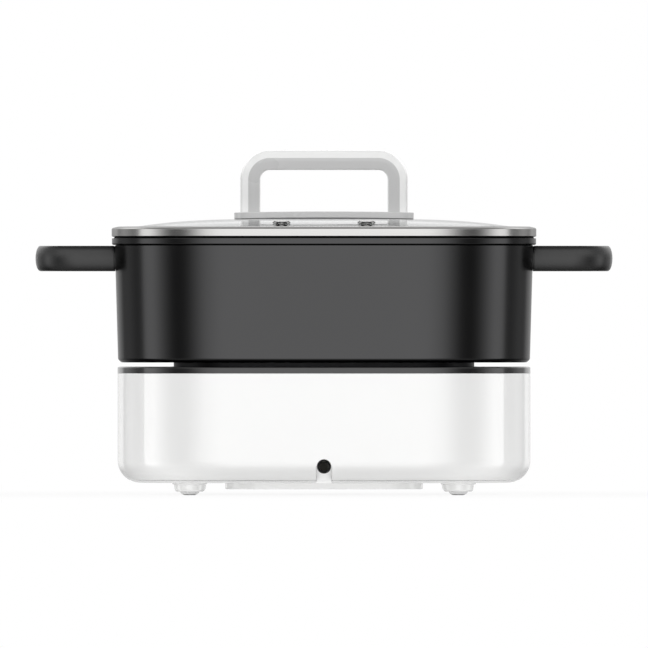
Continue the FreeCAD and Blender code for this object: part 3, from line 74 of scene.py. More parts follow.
def shift(bm, x, y, z, verts=None):
    # distances in millimetres; without verts, the whole shape moves
    bmesh.ops.translate(bm, vec=(x * mm, y * mm, z * mm), verts=verts or bm.verts[:])


def turnBy(bm, degrees, axis, verts=None):
    bmesh.ops.rotate(bm, cent=(0, 0, 0), matrix=Matrix.Rotation(math.radians(degrees), 3, axis),
                     verts=verts or bm.verts[:])


def addRod(bm, radius, length, facets):
    # standing along Z, with its middle at the origin
    return bmesh.ops.create_cone(bm, cap_ends=True, segments=facets, radius1=radius * mm, radius2=radius * mm,
                                 depth=length * mm)["verts"]


def thickenFaces(bm, step):
    made = bmesh.ops.extrude_face_region(bm, geom=bm.faces[:])["geom"]
    bmesh.ops.translate(bm, vec=step, verts=onlyVerts(made))
    bmesh.ops.recalc_face_normals(bm, faces=bm.faces[:])


def extrudeAlong(bm, edges, step):
    made = bmesh.ops.extrude_edge_only(bm, edges=edges)["geom"]
    bmesh.ops.translate(bm, verts=onlyVerts(made), vec=step)
    return onlyEdges(made)


def quarterTurn(bm, edges, centre, axis, steps):
    verts = list({vert for edge in edges for vert in edge.verts})
    made = bmesh.ops.spin(bm, geom=verts + edges, cent=centre, axis=axis, angle=math.radians(90), steps=steps,
                          use_duplicate=False)
    return onlyEdges(made["geom_last"])


def weld(bm, distance=0.002):
    bmesh.ops.remove_doubles(bm, verts=bm.verts[:], dist=distance * mm)
    bmesh.ops.recalc_face_normals(bm, faces=bm.faces[:])


def squareRing(rows, closed=False):
    # a profile led round four flat walls and four round corners
    bm = bmesh.new()
    corner, steps = plan["corner"] * mm, plan["cornerSteps"]
    newWire(bm, rows, lambda out, up: (-corner, -corner - out, up), closed)
    edges = bm.edges[:]
    for turn in range(4):
        angle = math.radians(90 * turn)
        along = Vector((math.cos(angle), math.sin(angle), 0))
        aside = Vector((math.sin(angle), -math.cos(angle), 0))
        edges = extrudeAlong(bm, edges, along * 2 * corner)
        edges = quarterTurn(bm, edges, (along + aside) * corner, (0, 0, 1), steps)
    weld(bm)
    return bm


def turnedBody(rows, steps=64, closed=False):
    # a profile spun once round the Z axis
    bm = bmesh.new()
    newWire(bm, rows, lambda out, up: (out, 0, up), closed)
    bmesh.ops.spin(bm, geom=bm.verts[:] + bm.edges[:], cent=(0, 0, 0), axis=(0, 0, 1),
                   angle=math.radians(360), steps=steps, use_merge=True, use_duplicate=False)
    weld(bm)
    return bm


def roundedSlab(length, width, radius, bottom, top, edge, segments=8):
    # a flat slab with round corners and softened edges
    bm = bmesh.new()
    bmesh.ops.create_grid(bm, x_segments=1, y_segments=1, size=0.5)
    bmesh.ops.scale(bm, vec=(length * mm, width * mm, 1), verts=bm.verts[:])
    shift(bm, 0, 0, bottom)
    bmesh.ops.bevel(bm, geom=bm.verts[:], offset=radius * mm, segments=segments, profile=0.5,
                    affect="VERTICES", material=-1)
    thickenFaces(bm, (0, 0, (top - bottom) * mm))
    softenCorners(bm, edge)
    return bm


def softenCorners(bm, edge):
    corners = [line for line in bm.edges if line.calc_face_angle(0) > plan["cornerTurn"]]
    bmesh.ops.bevel(bm, geom=corners, offset=edge * mm, segments=3, profile=0.5, affect="EDGES", material=-1)


def fillHoles(bm):
    rim = [edge for edge in bm.edges if edge.is_boundary]
    bmesh.ops.holes_fill(bm, edges=rim, sides=0)
    bmesh.ops.recalc_face_normals(bm, faces=bm.faces[:])


def addPiece(name, bm, materials, body, replaced=(), cutters=(), angle=None):
    # cut, give smooth faces with crisp edges and flat faces that stay flat, and hang on its body
    mesh = bpy.data.meshes.new(name)
    bm.to_mesh(mesh)
    bm.free()
    piece = bpy.data.objects.new(name, mesh)
    bpy.context.scene.collection.objects.link(piece)
    for cutter in cutters:
        subtract(piece, cutter)
    piece.data.shade_smooth()
    piece.data.set_sharp_from_angle(angle=math.radians(angle or plan["smoothAngle"]))
    weighted = piece.modifiers.new("weightedNormals", "WEIGHTED_NORMAL")
    weighted.keep_sharp = True
    weighted.weight = plan["flatWeight"]
    applyModifiers(piece)
    piece.data.materials.clear()
    for material in materials if isinstance(materials, list) else [materials]:
        piece.data.materials.append(material)
    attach(piece, body)
    if replaced:
        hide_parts(*replaced)
    return piece


def applyModifiers(piece):
    graph = bpy.context.evaluated_depsgraph_get()
    done = bpy.data.meshes.new_from_object(piece.evaluated_get(graph))
    old = piece.data
    piece.modifiers.clear()
    piece.data = done
    done.name = piece.name
    bpy.data.meshes.remove(old)


def subtract(piece, bm):
    mesh = bpy.data.meshes.new("cutter")
    bm.to_mesh(mesh)
    bm.free()
    cutter = bpy.data.objects.new("cutter", mesh)
    bpy.context.scene.collection.objects.link(cutter)
    cut = piece.modifiers.new("cut", "BOOLEAN")
    cut.operation, cut.solver, cut.object = "DIFFERENCE", "EXACT", cutter
    applyModifiers(piece)
    bpy.data.objects.remove(cutter)


# shader groups shared by the finishes
def newGroup(name, inputs, output):
    group = bpy.data.node_groups.new(name, "ShaderNodeTree")
    for label, kind, value in inputs:
        socket = group.interface.new_socket(name=label, in_out="INPUT", socket_type="NodeSocket" + kind)
        if value is not None:
            socket.default_value = value
    group.interface.new_socket(name=output[0], in_out="OUTPUT", socket_type="NodeSocket" + output[1])
    return group, group.nodes.new("NodeGroupInput"), group.nodes.new("NodeGroupOutput")


def mathNode(tree, operation, first, second=0.0):
    node = tree.nodes.new("ShaderNodeMath")
    node.operation = operation
    for socket, value in zip(node.inputs, (first, second)):
        if isinstance(value, (int, float)):
            socket.default_value = value
        else:
            tree.links.new(value, socket)
    return node.outputs[0]


def noiseNode(group, source, detail):
    noise = group.nodes.new("ShaderNodeTexNoise")
    noise.inputs["Detail"].default_value = detail
    for label in ("Vector", "Scale"):
        group.links.new(source.outputs[label], noise.inputs[label])
    return noise


def swingOf(group, source, noise):
    # the noise about zero, times the amount
    return mathNode(group, "MULTIPLY", mathNode(group, "SUBTRACT", noise.outputs[0], 0.5),
                    source.outputs["Amount"])


def toneDriftGroup():
    # slow, slight change of colour over a moulded or painted surface
    group, source, sink = newGroup("toneDrift", [("Vector", "Vector", None), ("Color", "Color", (1, 1, 1, 1)),
                                                 ("Scale", "Float", 20.0), ("Amount", "Float", 0.05)],
                                   ("Color", "Color"))
    factor = mathNode(group, "ADD", swingOf(group, source, noiseNode(group, source, 3.0)), 1.0)
    scale = group.nodes.new("ShaderNodeVectorMath")
    scale.operation = "SCALE"
    group.links.new(source.outputs["Color"], scale.inputs[0])
    group.links.new(factor, scale.inputs["Scale"])
    group.links.new(scale.outputs[0], sink.inputs["Color"])
    return group


def surfaceGrainGroup():
    # fine moulding grain or coating texture, as a height
    group, source, sink = newGroup("surfaceGrain", [("Vector", "Vector", None), ("Scale", "Float", 900.0),
                                                    ("Strength", "Float", 1.0)], ("Height", "Float"))
    noise = noiseNode(group, source, 2.0)
    group.links.new(mathNode(group, "MULTIPLY", noise.outputs[0], source.outputs["Strength"]),
                    sink.inputs["Height"])
    return group


def handlingMarksGroup():
    # roughness that changes where hands and cloths have been
    group, source, sink = newGroup("handlingMarks", [("Vector", "Vector", None), ("Roughness", "Float", 0.3),
                                                     ("Amount", "Float", 0.1), ("Scale", "Float", 14.0)],
                                   ("Roughness", "Float"))
    noise = noiseNode(group, source, 5.0)
    noise.inputs["Distortion"].default_value = 0.8
    group.links.new(mathNode(group, "ADD", swingOf(group, source, noise), source.outputs["Roughness"]),
                    sink.inputs["Roughness"])
    return group


groups = {"tone": toneDriftGroup(), "grain": surfaceGrainGroup(), "marks": handlingMarksGroup()}


def finish(name, color, roughness, metallic=0.0, tone=0.06, toneScale=18.0, marks=0.08, marksScale=14.0,
           grain=0.0, grainScale=900.0, grainStrength=0.35, stretch=(1, 1, 1), coat=0.0, coatRoughness=0.05,
           coatIor=1.5, transmission=0.0, edge=1.0):
    # one procedural finish; numbers that do not change over the surface sit on the shader itself
    # edge darkens a metal where it is seen at a slant
    material = bpy.data.materials.new(name)
    material.use_nodes = True
    tree = material.node_tree
    shader = tree.nodes["Principled BSDF"]
    place = tree.nodes.new("ShaderNodeTexCoord")
    mapping = tree.nodes.new("ShaderNodeMapping")
    mapping.inputs["Scale"].default_value = stretch
    tree.links.new(place.outputs["Object"], mapping.inputs["Vector"])

    def use(key, **values):
        node = tree.nodes.new("ShaderNodeGroup")
        node.node_tree = groups[key]
        tree.links.new(mapping.outputs[0], node.inputs["Vector"])
        for label, value in values.items():
            node.inputs[label].default_value = value
        return node.outputs[0]

    tree.links.new(use("tone", Color=(*color, 1), Scale=toneScale, Amount=tone), shader.inputs["Base Color"])
    tree.links.new(use("marks", Roughness=roughness, Amount=marks, Scale=marksScale),
                   shader.inputs["Roughness"])
    if grain:
        bump = tree.nodes.new("ShaderNodeBump")
        bump.inputs["Strength"].default_value = grainStrength
        bump.inputs["Distance"].default_value = grain * mm
        tree.links.new(use("grain", Scale=grainScale), bump.inputs["Height"])
        tree.links.new(bump.outputs[0], shader.inputs["Normal"])
    shader.inputs["Metallic"].default_value = metallic
    shader.inputs["Coat Weight"].default_value = coat
    shader.inputs["Coat Roughness"].default_value = coatRoughness
    shader.inputs["Coat IOR"].default_value = coatIor
    shader.inputs["Transmission Weight"].default_value = transmission
    shader.inputs["Specular Tint"].default_value = (edge, edge, edge, 1)
    return material


finishes = {
    "white_plastic": finish("shellGloss", (0.83, 0.83, 0.825), 0.25, tone=0.015, marks=0.06, coat=1.0,
                            coatRoughness=0.02, coatIor=1.95),
    # whiter than the shell's plastic: painted light on the bottom cover, which sits in shade under the base
    "cover_plastic": finish("coverPaintedLight", (0.89, 0.89, 0.885), 0.3, tone=0.02, marks=0.08, coat=1.0,
                            coatRoughness=0.02, coatIor=1.75),
    "black_panel": finish("panelGloss", (0.005, 0.005, 0.0052), 0.22, tone=0.2, marks=0.05, coat=0.8,
                          coatRoughness=0.1, coatIor=1.5),
    "pad_rubber": finish("padRubber", (0.60, 0.60, 0.60), 0.7, grain=0.03, grainScale=1400),
    "seal_rubber": finish("sealRubber", (0.03, 0.03, 0.03), 0.6, grain=0.03),
    "gland_rubber": finish("glandRubber", (0.022, 0.022, 0.022), 0.55, grain=0.03),
    "gasket_rubber": finish("gasketRubber", (0.16, 0.16, 0.165), 0.5, grain=0.02),
    "heater_aluminium": finish("heaterCoating", (0.035, 0.036, 0.038), 0.42, metallic=0.5, grain=0.02,
                               marks=0.15),
    "element_steel": finish("elementSteel", (0.36, 0.33, 0.30), 0.4, metallic=1.0, tone=0.25),
    "sheet_steel": finish("sheetSteel", (0.60, 0.60, 0.59), 0.35, metallic=1.0, tone=0.1, marks=0.15,
                          stretch=(1, 12, 1)),
    "screw_steel": finish("screwSteel", (0.58, 0.58, 0.57), 0.3, metallic=1.0, tone=0.1),
    "fuse_ceramic": finish("fuseCeramic", (0.62, 0.58, 0.50), 0.5, grain=0.02),
    "sensor_aluminium": finish("sensorAluminium", (0.66, 0.66, 0.66), 0.3, metallic=1.0, marks=0.12),
    "thermistor_glass": finish("thermistorBead", (0.35, 0.16, 0.05), 0.25, tone=0.2),
    "spring_steel": finish("springSteel", (0.52, 0.52, 0.52), 0.25, metallic=1.0),
    "circuit_board": finish("circuitBoard", (0.03, 0.14, 0.06), 0.4, tone=0.3, grain=0.01),
    "black_plastic": finish("blackPlastic", (0.03, 0.03, 0.03), 0.4, grain=0.02),
    "blue_plastic": finish("relayPlastic", (0.03, 0.10, 0.32), 0.4, grain=0.02),
    "transformer_core": finish("transformerCore", (0.20, 0.15, 0.10), 0.55, tone=0.25, grain=0.02),
    "sink_aluminium": finish("sinkAluminium", (0.62, 0.62, 0.62), 0.4, metallic=1.0),
    "terminal_plastic": finish("terminalPlastic", (0.72, 0.70, 0.62), 0.45, grain=0.02),
    "brass": finish("brass", (0.70, 0.52, 0.24), 0.3, metallic=1.0),
    "dial_plastic": finish("dialPlastic", (0.05, 0.05, 0.052), 0.35, grain=0.015),
    "knob_plastic": finish("knobPlastic", (0.80, 0.80, 0.79), 0.26, tone=0.03, coat=0.4),
    "lamp_red": finish("lampLens", (0.55, 0.03, 0.02), 0.12, tone=0.1, transmission=0.5),
    "led_clear": finish("ledBody", (0.75, 0.72, 0.70), 0.15, transmission=0.6),
    "pot_coating": finish("potCoating", (0.064, 0.064, 0.065), 0.2, metallic=1.0, tone=0.04, marks=0.05,
                          grain=0.008, grainScale=700, edge=0.6),
    "pot_handle_plastic": finish("gripPlastic", (0.0085, 0.0085, 0.0087), 0.36, tone=0.25, grain=0.01,
                                 coat=0.3, coatRoughness=0.25),
    "lid_glass": finish("lidGlass", (0.66, 0.672, 0.668), 0.0, tone=0.02, marks=0.004, transmission=1.0),
    "rim_steel": finish("rimSteel", (0.54, 0.535, 0.527), 0.2, metallic=1.0, tone=0.06, marks=0.05,
                        stretch=(1, 1, 20), edge=0.5),
    "vent_steel": finish("ventSteel", (0.56, 0.555, 0.55), 0.18, metallic=1.0, tone=0.08),
    # white plastic greyed for the handle's plate: painted shade
    "plate_plastic": finish("platePaintedShade", (0.65, 0.65, 0.65), 0.28, tone=0.02, coat=0.5),
    "lid_handle_plastic": finish("handleGloss", (0.88, 0.88, 0.875), 0.25, tone=0.015, marks=0.05, coat=1.0,
                                 coatRoughness=0.03, coatIor=1.75),
    # the handle's white plastic made grey for its front and back faces: painted shade
    "handle_face": finish("handleFacePaintedShade", (0.54, 0.54, 0.54), 0.28, tone=0.02, coat=0.5),
}

for node in nodes.values():
    for place in node.material_slots:
        place.material = finishes[place.material.name.split(".")[0]]
print("finishes made:", len(finishes))


# pot: outside wall, flange, lip, inside and underside in one turned profile
pot = {
    "bottom": 86.0, "bottomOut": 77.7, "bottomCut": 2.1, "bottomRound": 0.7,
    "flangeBottom": 162.6, "topOut": 79.8, "flangeOut": 81.7, "chamfer": 0.3, "flangeTop": 166.6,
    "lipOut": 80.6, "lipTop": 167.85, "lipRound": 0.2, "lipLean": 0.9, "groove": 0.7, "grooveDrop": 0.42,
    "mouthOut": 76.8, "floorOut": 74.7, "floorTop": 90.0, "floorRound": 12.0,
    "recessOut": 42.3, "recessTop": 86.8, "edge": 0.3, "fineEdge": 0.2,
    "startOut": 1.0,       # the profile starts and ends here, and a flat face closes what is left
}


def makePot():
    rows = [
        (pot["startOut"], pot["floorTop"]),
        (pot["floorOut"], pot["floorTop"], pot["floorRound"], 14),
        (pot["mouthOut"], pot["lipTop"], pot["lipRound"], 3),
        (pot["lipOut"] - pot["lipLean"], pot["lipTop"], pot["lipRound"], 3),
        (pot["lipOut"], pot["flangeTop"], pot["fineEdge"] / 2, 2),
        (pot["flangeOut"], pot["flangeTop"], pot["edge"], 3),
        (pot["flangeOut"], pot["flangeBottom"] + pot["chamfer"], pot["edge"], 3),
        (pot["flangeOut"] - pot["chamfer"], pot["flangeBottom"], pot["fineEdge"], 2),
        (pot["topOut"], pot["flangeBottom"]),
        (pot["topOut"] - pot["groove"], pot["flangeBottom"] - pot["grooveDrop"]),
        (pot["topOut"], pot["flangeBottom"] - 2 * pot["grooveDrop"]),
        (pot["bottomOut"], pot["bottom"] + pot["bottomCut"], pot["bottomRound"], 5),
        (pot["bottomOut"] - pot["bottomCut"], pot["bottom"], pot["bottomRound"], 5),
        (pot["recessOut"], pot["bottom"], pot["fineEdge"], 2),
        (pot["recessOut"], pot["recessTop"], pot["fineEdge"], 2),
        (pot["startOut"], pot["recessTop"]),
    ]
    bm = squareRing(rows)
    fillHoles(bm)
    addPiece("potVessel", bm, finishes["pot_coating"], "pot", ["pot_body"])


makePot()


# loop grips on the pot's sides
grip = {
    "barWidth": 16.0, "height": 16.4, "bulge": 3.1, "middleZ": 153.6, "facets": 40,
    "startX": 136.3, "reachX": 187.7, "span": 110.0, "corner": 28.6, "endRound": 0.4,
    # the neck between pot and grip: its size against the grip's, and how far it reaches into it
    "wallX": 134.2, "neck": 0.86, "neckInside": 1.0,
}


def loopBody(bm, start, out, across, reach, span, bend, steps=18):
    # the section's edges led out, round a bend, across, round another and back
    axis = out.cross(across)
    far = start + out * (reach - bend)
    edges = extrudeAlong(bm, bm.edges[:], out * (reach - bend))
    edges = quarterTurn(bm, edges, far + across * bend, axis, steps)
    edges = extrudeAlong(bm, edges, across * (span - 2 * bend))
    edges = quarterTurn(bm, edges, far + across * (span - bend), axis, steps)
    extrudeAlong(bm, edges, -out * (reach - bend))
    weld(bm)
    fillHoles(bm)


def gripSection(bm, start, size):
    # a flat-sided oval standing across the X axis
    bmesh.ops.create_circle(bm, segments=grip["facets"], radius=1.0)
    half, flat = grip["height"] / 2 * mm, (grip["barWidth"] / 2 - grip["bulge"]) * mm
    bmesh.ops.scale(bm, vec=(grip["bulge"] * mm, half, 1), verts=bm.verts[:])
    # the highest and lowest points are split, so that the two halves can be drawn apart
    poles = [vert for vert in bm.verts if abs(vert.co.x) <= 1e-6]
    bmesh.ops.bevel(bm, geom=poles, offset=1e-5, segments=1, profile=0.5, affect="VERTICES", material=-1)
    for sign in (1, -1):
        bmesh.ops.translate(bm, vec=(sign * flat, 0, 0), verts=[v for v in bm.verts if v.co.x * sign > 0])
    bmesh.ops.scale(bm, vec=(size, size, 1), verts=bm.verts[:])
    turn = Matrix(((0, 0, 1), (1, 0, 0), (0, 1, 0)))
    bmesh.ops.transform(bm, matrix=turn.to_4x4(), verts=bm.verts[:])
    bmesh.ops.translate(bm, vec=start, verts=bm.verts[:])


def addGripPiece(name, side, bm, node):
    # made for the right side, and mirrored for the left
    if side < 0:
        bmesh.ops.scale(bm, vec=(-1, 1, 1), verts=bm.verts[:])
        bmesh.ops.reverse_faces(bm, faces=bm.faces[:])
    addPiece(name + ("Right" if side > 0 else "Left"), bm, finishes["pot_handle_plastic"], "pot",
             [node] if node else [])


def makeGrip(side):
    bm = bmesh.new()
    barY = (grip["span"] - grip["barWidth"]) / 2 * mm
    start = Vector((grip["startX"] * mm, -barY, grip["middleZ"] * mm))
    gripSection(bm, start, 1.0)
    reach = (grip["reachX"] - grip["barWidth"] / 2 - grip["startX"]) * mm
    loopBody(bm, start, Vector((1, 0, 0)), Vector((0, 1, 0)), reach, 2 * barY,
             (grip["corner"] - grip["barWidth"] / 2) * mm)
    softenCorners(bm, grip["endRound"])
    addGripPiece("grip", side, bm, "pot_handle_right" if side > 0 else "pot_handle_left")


def makeGripNeck(side, along):
    # the narrower root that leaves a dark line between grip and pot
    bm = bmesh.new()
    barY = (grip["span"] - grip["barWidth"]) / 2 * mm * along
    gripSection(bm, Vector((grip["wallX"] * mm, barY, grip["middleZ"] * mm)), grip["neck"])
    extrudeAlong(bm, bm.edges[:], Vector(((grip["startX"] + grip["neckInside"] - grip["wallX"]) * mm, 0, 0)))
    fillHoles(bm)
    addGripPiece("gripNeck" + ("Front" if along > 0 else "Back"), side, bm, None)


for side in (1, -1):
    makeGrip(side)
for side in (1, -1):
    for along in (1, -1):
        makeGripNeck(side, along)
print("pot done")


# lid: the steel rim folded round the glass
rim = {
    "bottom": 167.9, "top": 173.4, "out": 81.85, "cut": 0.75, "sheet": 0.5, "shoulder": 0.1,
    "lipWidth": 4.4, "lipRise": 0.85, "skirtOut": 75.7, "skirtBottom": 164.0, "floor": 1.0,
    "edge": 0.25, "fineEdge": 0.2,
}


def makeRim():
    top, bottom, out, sheet = rim["top"], rim["bottom"], rim["out"], rim["sheet"]
    edge, fine, skirt, cut = rim["edge"], rim["fineEdge"], rim["skirtOut"], rim["cut"]
    inner, lip, floor = out - rim["lipWidth"], top + rim["lipRise"], bottom + rim["floor"]
    rows = [
        (inner, lip - sheet, fine / 2, 2), (inner, lip, fine, 3), (out - cut, top, edge, 3),
        (out, top - cut, edge, 3), (out, bottom, edge, 3),
        (skirt, bottom, fine, 2), (skirt, rim["skirtBottom"], fine, 2),
        (skirt - sheet, rim["skirtBottom"], fine, 2), (skirt - sheet, floor, fine, 2),
        (out - sheet, floor), (out - sheet, top - cut - rim["shoulder"]),
    ]
    bm = squareRing(rows, closed=True)
    addPiece("lidRim", bm, finishes["rim_steel"], "lid", ["lid_rim"])


# steam vents: eyelets with round windows under a domed cap; the glass is drilled for them
vent = {
    "x": 27.5, "y": -107.0, "z": 176.2, "slope": 6.6, "smoothAngle": 40.0,
    "windows": 8, "windowWidth": 2.5, "windowHeight": 0.95, "windowZ": 0.92, "windowOut": 5.6,
    "windowDepth": 3.2, "windowFacets": 24,
    # (out, up, rounding, facets) of the hollow, the throat, the flange below the glass, the brim and the cap
    "profile": [
        (0, 1.25), (3.6, 1.2, 0.6, 4), (4.9, 0.95, 0.2, 2), (4.9, 0.25), (2.5, 0.25),
        (2.5, -4.9, 0.2, 2), (6.0, -4.9, 0.2, 2), (6.0, -4.1), (3.7, -4.1), (3.7, 0.1), (5.0, 0.06, 0.1, 2),
        (6.1, 0.65, 0.3, 8), (4.6, 1.5, 1.0, 6), (0, 1.65),
    ],
    # the hollow is lined with the dark seal inside this radius and between these heights
    "liningOut": 4.95, "liningLow": 0.15, "liningHigh": 1.45,
}


def ventWindows():
    bm = bmesh.new()
    for number in range(vent["windows"]):
        one = addRod(bm, 0.5, vent["windowDepth"], vent["windowFacets"])
        bmesh.ops.scale(bm, vec=(vent["windowHeight"], vent["windowWidth"], 1), verts=one)
        turnBy(bm, 90, "Y", one)
        shift(bm, vent["windowOut"], 0, vent["windowZ"], one)
        turnBy(bm, 360 * (number + 0.5) / vent["windows"], "Z", one)
    return bm


def makeVent(side):
    bm, windows = turnedBody(vent["profile"]), ventWindows()
    place = (Matrix.Translation((side * vent["x"] * mm, vent["y"] * mm, vent["z"] * mm))
             @ Matrix.Rotation(math.radians(vent["slope"]), 4, "X"))
    for body in (bm, windows):
        bmesh.ops.transform(body, matrix=place, verts=body.verts[:])
    name, node = ("ventRight", "steam_vent_right") if side > 0 else ("ventLeft", "steam_vent_left")
    piece = addPiece(name, bm, [finishes["vent_steel"], finishes["seal_rubber"]], "lid", [node],
                     cutters=[windows], angle=vent["smoothAngle"])
    back = place.inverted()
    for face in piece.data.polygons:
        spot = back @ face.center
        inside = math.hypot(spot.x, spot.y) < vent["liningOut"] * mm
        if inside and vent["liningLow"] * mm < spot.z < vent["liningHigh"] * mm:
            face.material_index = 1


# lid: the domed glass
glass = {
    "out": 80.6, "edgeTop": 172.6, "flatOut": 77.2, "top": 173.75, "thickness": 4.35, "smoothAngle": 50.0,
    "flatRound": 0.5, "edgeRound": 0.4, "lowRound": 0.3,
    # the dome: where it starts, how high it and its hollow side rise, and how square its curve is
    "domeOut": 68.05, "rise": 5.7, "riseInside": 6.2, "power": 3.9, "rows": 16, "lastShare": 0.06,
    # holes for the handle's screws and for the vents
    "screwX": 47.85, "screwHole": 2.4, "ventHole": 3.8,
    "drillFacets": 48, "drillDepth": 24.0, "drillLift": 3.0,
}


def domeRows(bm, level, rise):
    # from the foot of the dome to its middle: extrude the open edge, draw it in and lift it
    edges = [edge for edge in bm.edges if edge.is_boundary
             and all(abs(vert.co.z - level * mm) < 1e-5 for vert in edge.verts)]
    share, height = 1.0, 0.0
    for row in range(1, glass["rows"] + 1):
        nextShare = 1 - (1 - glass["lastShare"]) * row / glass["rows"]
        nextHeight = rise * (1 - nextShare ** glass["power"])
        made = bmesh.ops.extrude_edge_only(bm, edges=edges)["geom"]
        verts, edges = onlyVerts(made), onlyEdges(made)
        bmesh.ops.scale(bm, vec=(nextShare / share, nextShare / share, 1), verts=verts)
        shift(bm, 0, 0, nextHeight - height, verts)
        share, height = nextShare, nextHeight
    bmesh.ops.holes_fill(bm, edges=edges, sides=0)


def glassDrill(x, y, radius, slope):
    bm = bmesh.new()
    addRod(bm, radius, glass["drillDepth"], glass["drillFacets"])
    turnBy(bm, slope, "X")
    shift(bm, x, y, glass["top"] + glass["drillLift"])
    return bm


def makeGlass():
    top, bottom = glass["top"], glass["top"] - glass["thickness"]
    rows = [
        (glass["domeOut"], top), (glass["flatOut"], top, glass["flatRound"], 3),
        (glass["out"], glass["edgeTop"], glass["edgeRound"], 3), (glass["out"], bottom, glass["lowRound"], 3),
        (glass["domeOut"], bottom),
    ]
    bm = squareRing(rows)
    domeRows(bm, top, glass["rise"])
    domeRows(bm, bottom, glass["riseInside"])
    bmesh.ops.recalc_face_normals(bm, faces=bm.faces[:])
    drills = []
    for side in (1, -1):
        drills.append(glassDrill(glass["screwX"] * side, 0, glass["screwHole"], 0))
        drills.append(glassDrill(vent["x"] * side, vent["y"], glass["ventHole"], vent["slope"]))
    addPiece("lidGlass", bm, finishes["lid_glass"], "lid", ["lid_glass"], cutters=drills,
             angle=glass["smoothAngle"])


makeRim()
makeGlass()

# lid: the arch handle, its section led up, across and down
arch = {
    "width": 83.0, "height": 26.85, "innerBend": 6.2, "depth": 26.0, "foot": 183.6, "plateTop": 184.45,
    "face": 7.9, "thickness": 13.0, "bevelDepth": 4.9, "crown": 2.5, "fillet": 0.8, "edge": 0.12,
    "softFace": 2.2, "softDrop": 0.42, "softRound": 0.6, "smoothAngle": 20.0,
    "faceTurn": 0.95,      # faces turned this far to the front or back take the greyer finish, painted shade on the white plastic
}


def makeArch():
    bm = bmesh.new()
    half, outer = arch["depth"] / 2, arch["depth"] / 2 - arch["bevelDepth"]
    face, soft, drop = arch["face"], arch["face"] - arch["softFace"], half - arch["softDrop"]
    rows = [
        (0, -half, arch["fillet"], 5), (soft, -half, arch["softRound"], 4), (face, -drop, arch["edge"], 2),
        (arch["thickness"], -outer, arch["crown"], 8), (arch["thickness"], outer, arch["crown"], 8),
        (face, drop, arch["edge"], 2), (soft, half, arch["softRound"], 4), (0, half, arch["fillet"], 5),
    ]
    left = -arch["width"] / 2 * mm
    newWire(bm, rows, lambda n, y: (left - n, y, arch["foot"] * mm), closed=True)
    start = Vector((left, 0, arch["foot"] * mm))
    loopBody(bm, start, Vector((0, 0, 1)), Vector((1, 0, 0)),
             (arch["plateTop"] + arch["height"] - arch["foot"]) * mm, arch["width"] * mm,
             arch["innerBend"] * mm)
    piece = addPiece("lidArch", bm, [finishes["lid_handle_plastic"], finishes["handle_face"]], "lid",
                     ["lid_handle"], angle=arch["smoothAngle"])
    # front and back faces take the greyer finish, painted shade on the white handle
    for polygon in piece.data.polygons:
        if abs(polygon.normal.y) > arch["faceTurn"]:
            polygon.material_index = 1


makeArch()

# lid: the bowed plate between arch and glass, its white plastic greyed as painted shade
plate = {
    "length": 117.0, "depth": 38.0, "corner": 10.0, "bottom": 180.05, "top": 184.25, "edge": 0.45,
    "bow": 0.65, "slices": 11, "sliceWidth": 4.5,
}


def sliceAcross(bm):
    for step in range(-plate["slices"], plate["slices"] + 1):
        bmesh.ops.bisect_plane(bm, geom=bm.verts[:] + bm.edges[:] + bm.faces[:], dist=1e-7,
                               plane_co=(step * plate["sliceWidth"] * mm, 0, 0), plane_no=(1, 0, 0))


def bowDown(bm):
    # the slab follows the dome: its ends hang lower than its middle
    for vert in bm.verts:
        vert.co.z -= plate["bow"] * mm * (vert.co.x / (plate["length"] / 2 * mm)) ** 2


def makePlate():
    bm = roundedSlab(plate["length"], plate["depth"], plate["corner"], plate["bottom"], plate["top"],
                     plate["edge"])
    sliceAcross(bm)
    bowDown(bm)
    addPiece("lidHandlePlate", bm, finishes["plate_plastic"], "lid", ["lid_handle_plate"])


makePlate()
print("lid done")


# feet: a collar under the base, a tapered body and a seat for the pad
foot = {
    "places": 87.1, "top": 7.9, "topRadius": 11.4, "collar": 0.8, "collarDrop": 0.3, "collarEdge": 0.25,
    "neckRadius": 10.2, "bottomRadius": 9.6, "bottom": 2.2, "bottomRound": 1.6, "edge": 0.2,
    "seat": 6.7, "roof": 4.4, "screwHole": 2.2,
}


def makeFoot(sx, sy):
    collar, edge = foot["top"] - foot["collar"], foot["edge"]
    rows = [
        (foot["screwHole"], foot["top"]), (foot["topRadius"], foot["top"], edge, 2),
        (foot["topRadius"], collar, foot["collarEdge"], 3),
        (foot["neckRadius"], collar - foot["collarDrop"], edge, 2),
        (foot["bottomRadius"], foot["bottom"], foot["bottomRound"], 6),
        (foot["seat"], foot["bottom"], edge, 2), (foot["seat"], foot["roof"]),
        (foot["screwHole"], foot["roof"]),
    ]
    bm = turnedBody(rows, closed=True)
    shift(bm, sx * foot["places"], sy * foot["places"], 0)
    places = ["front" if sy > 0 else "back", "right" if sx > 0 else "left"]
    addPiece("foot" + places[0].title() + places[1].title(), bm, finishes["white_plastic"], "base",
             ["_".join(["foot"] + places)])


for sx in (-1, 1):
    for sy in (-1, 1):
        makeFoot(sx, sy)
print("feet done")


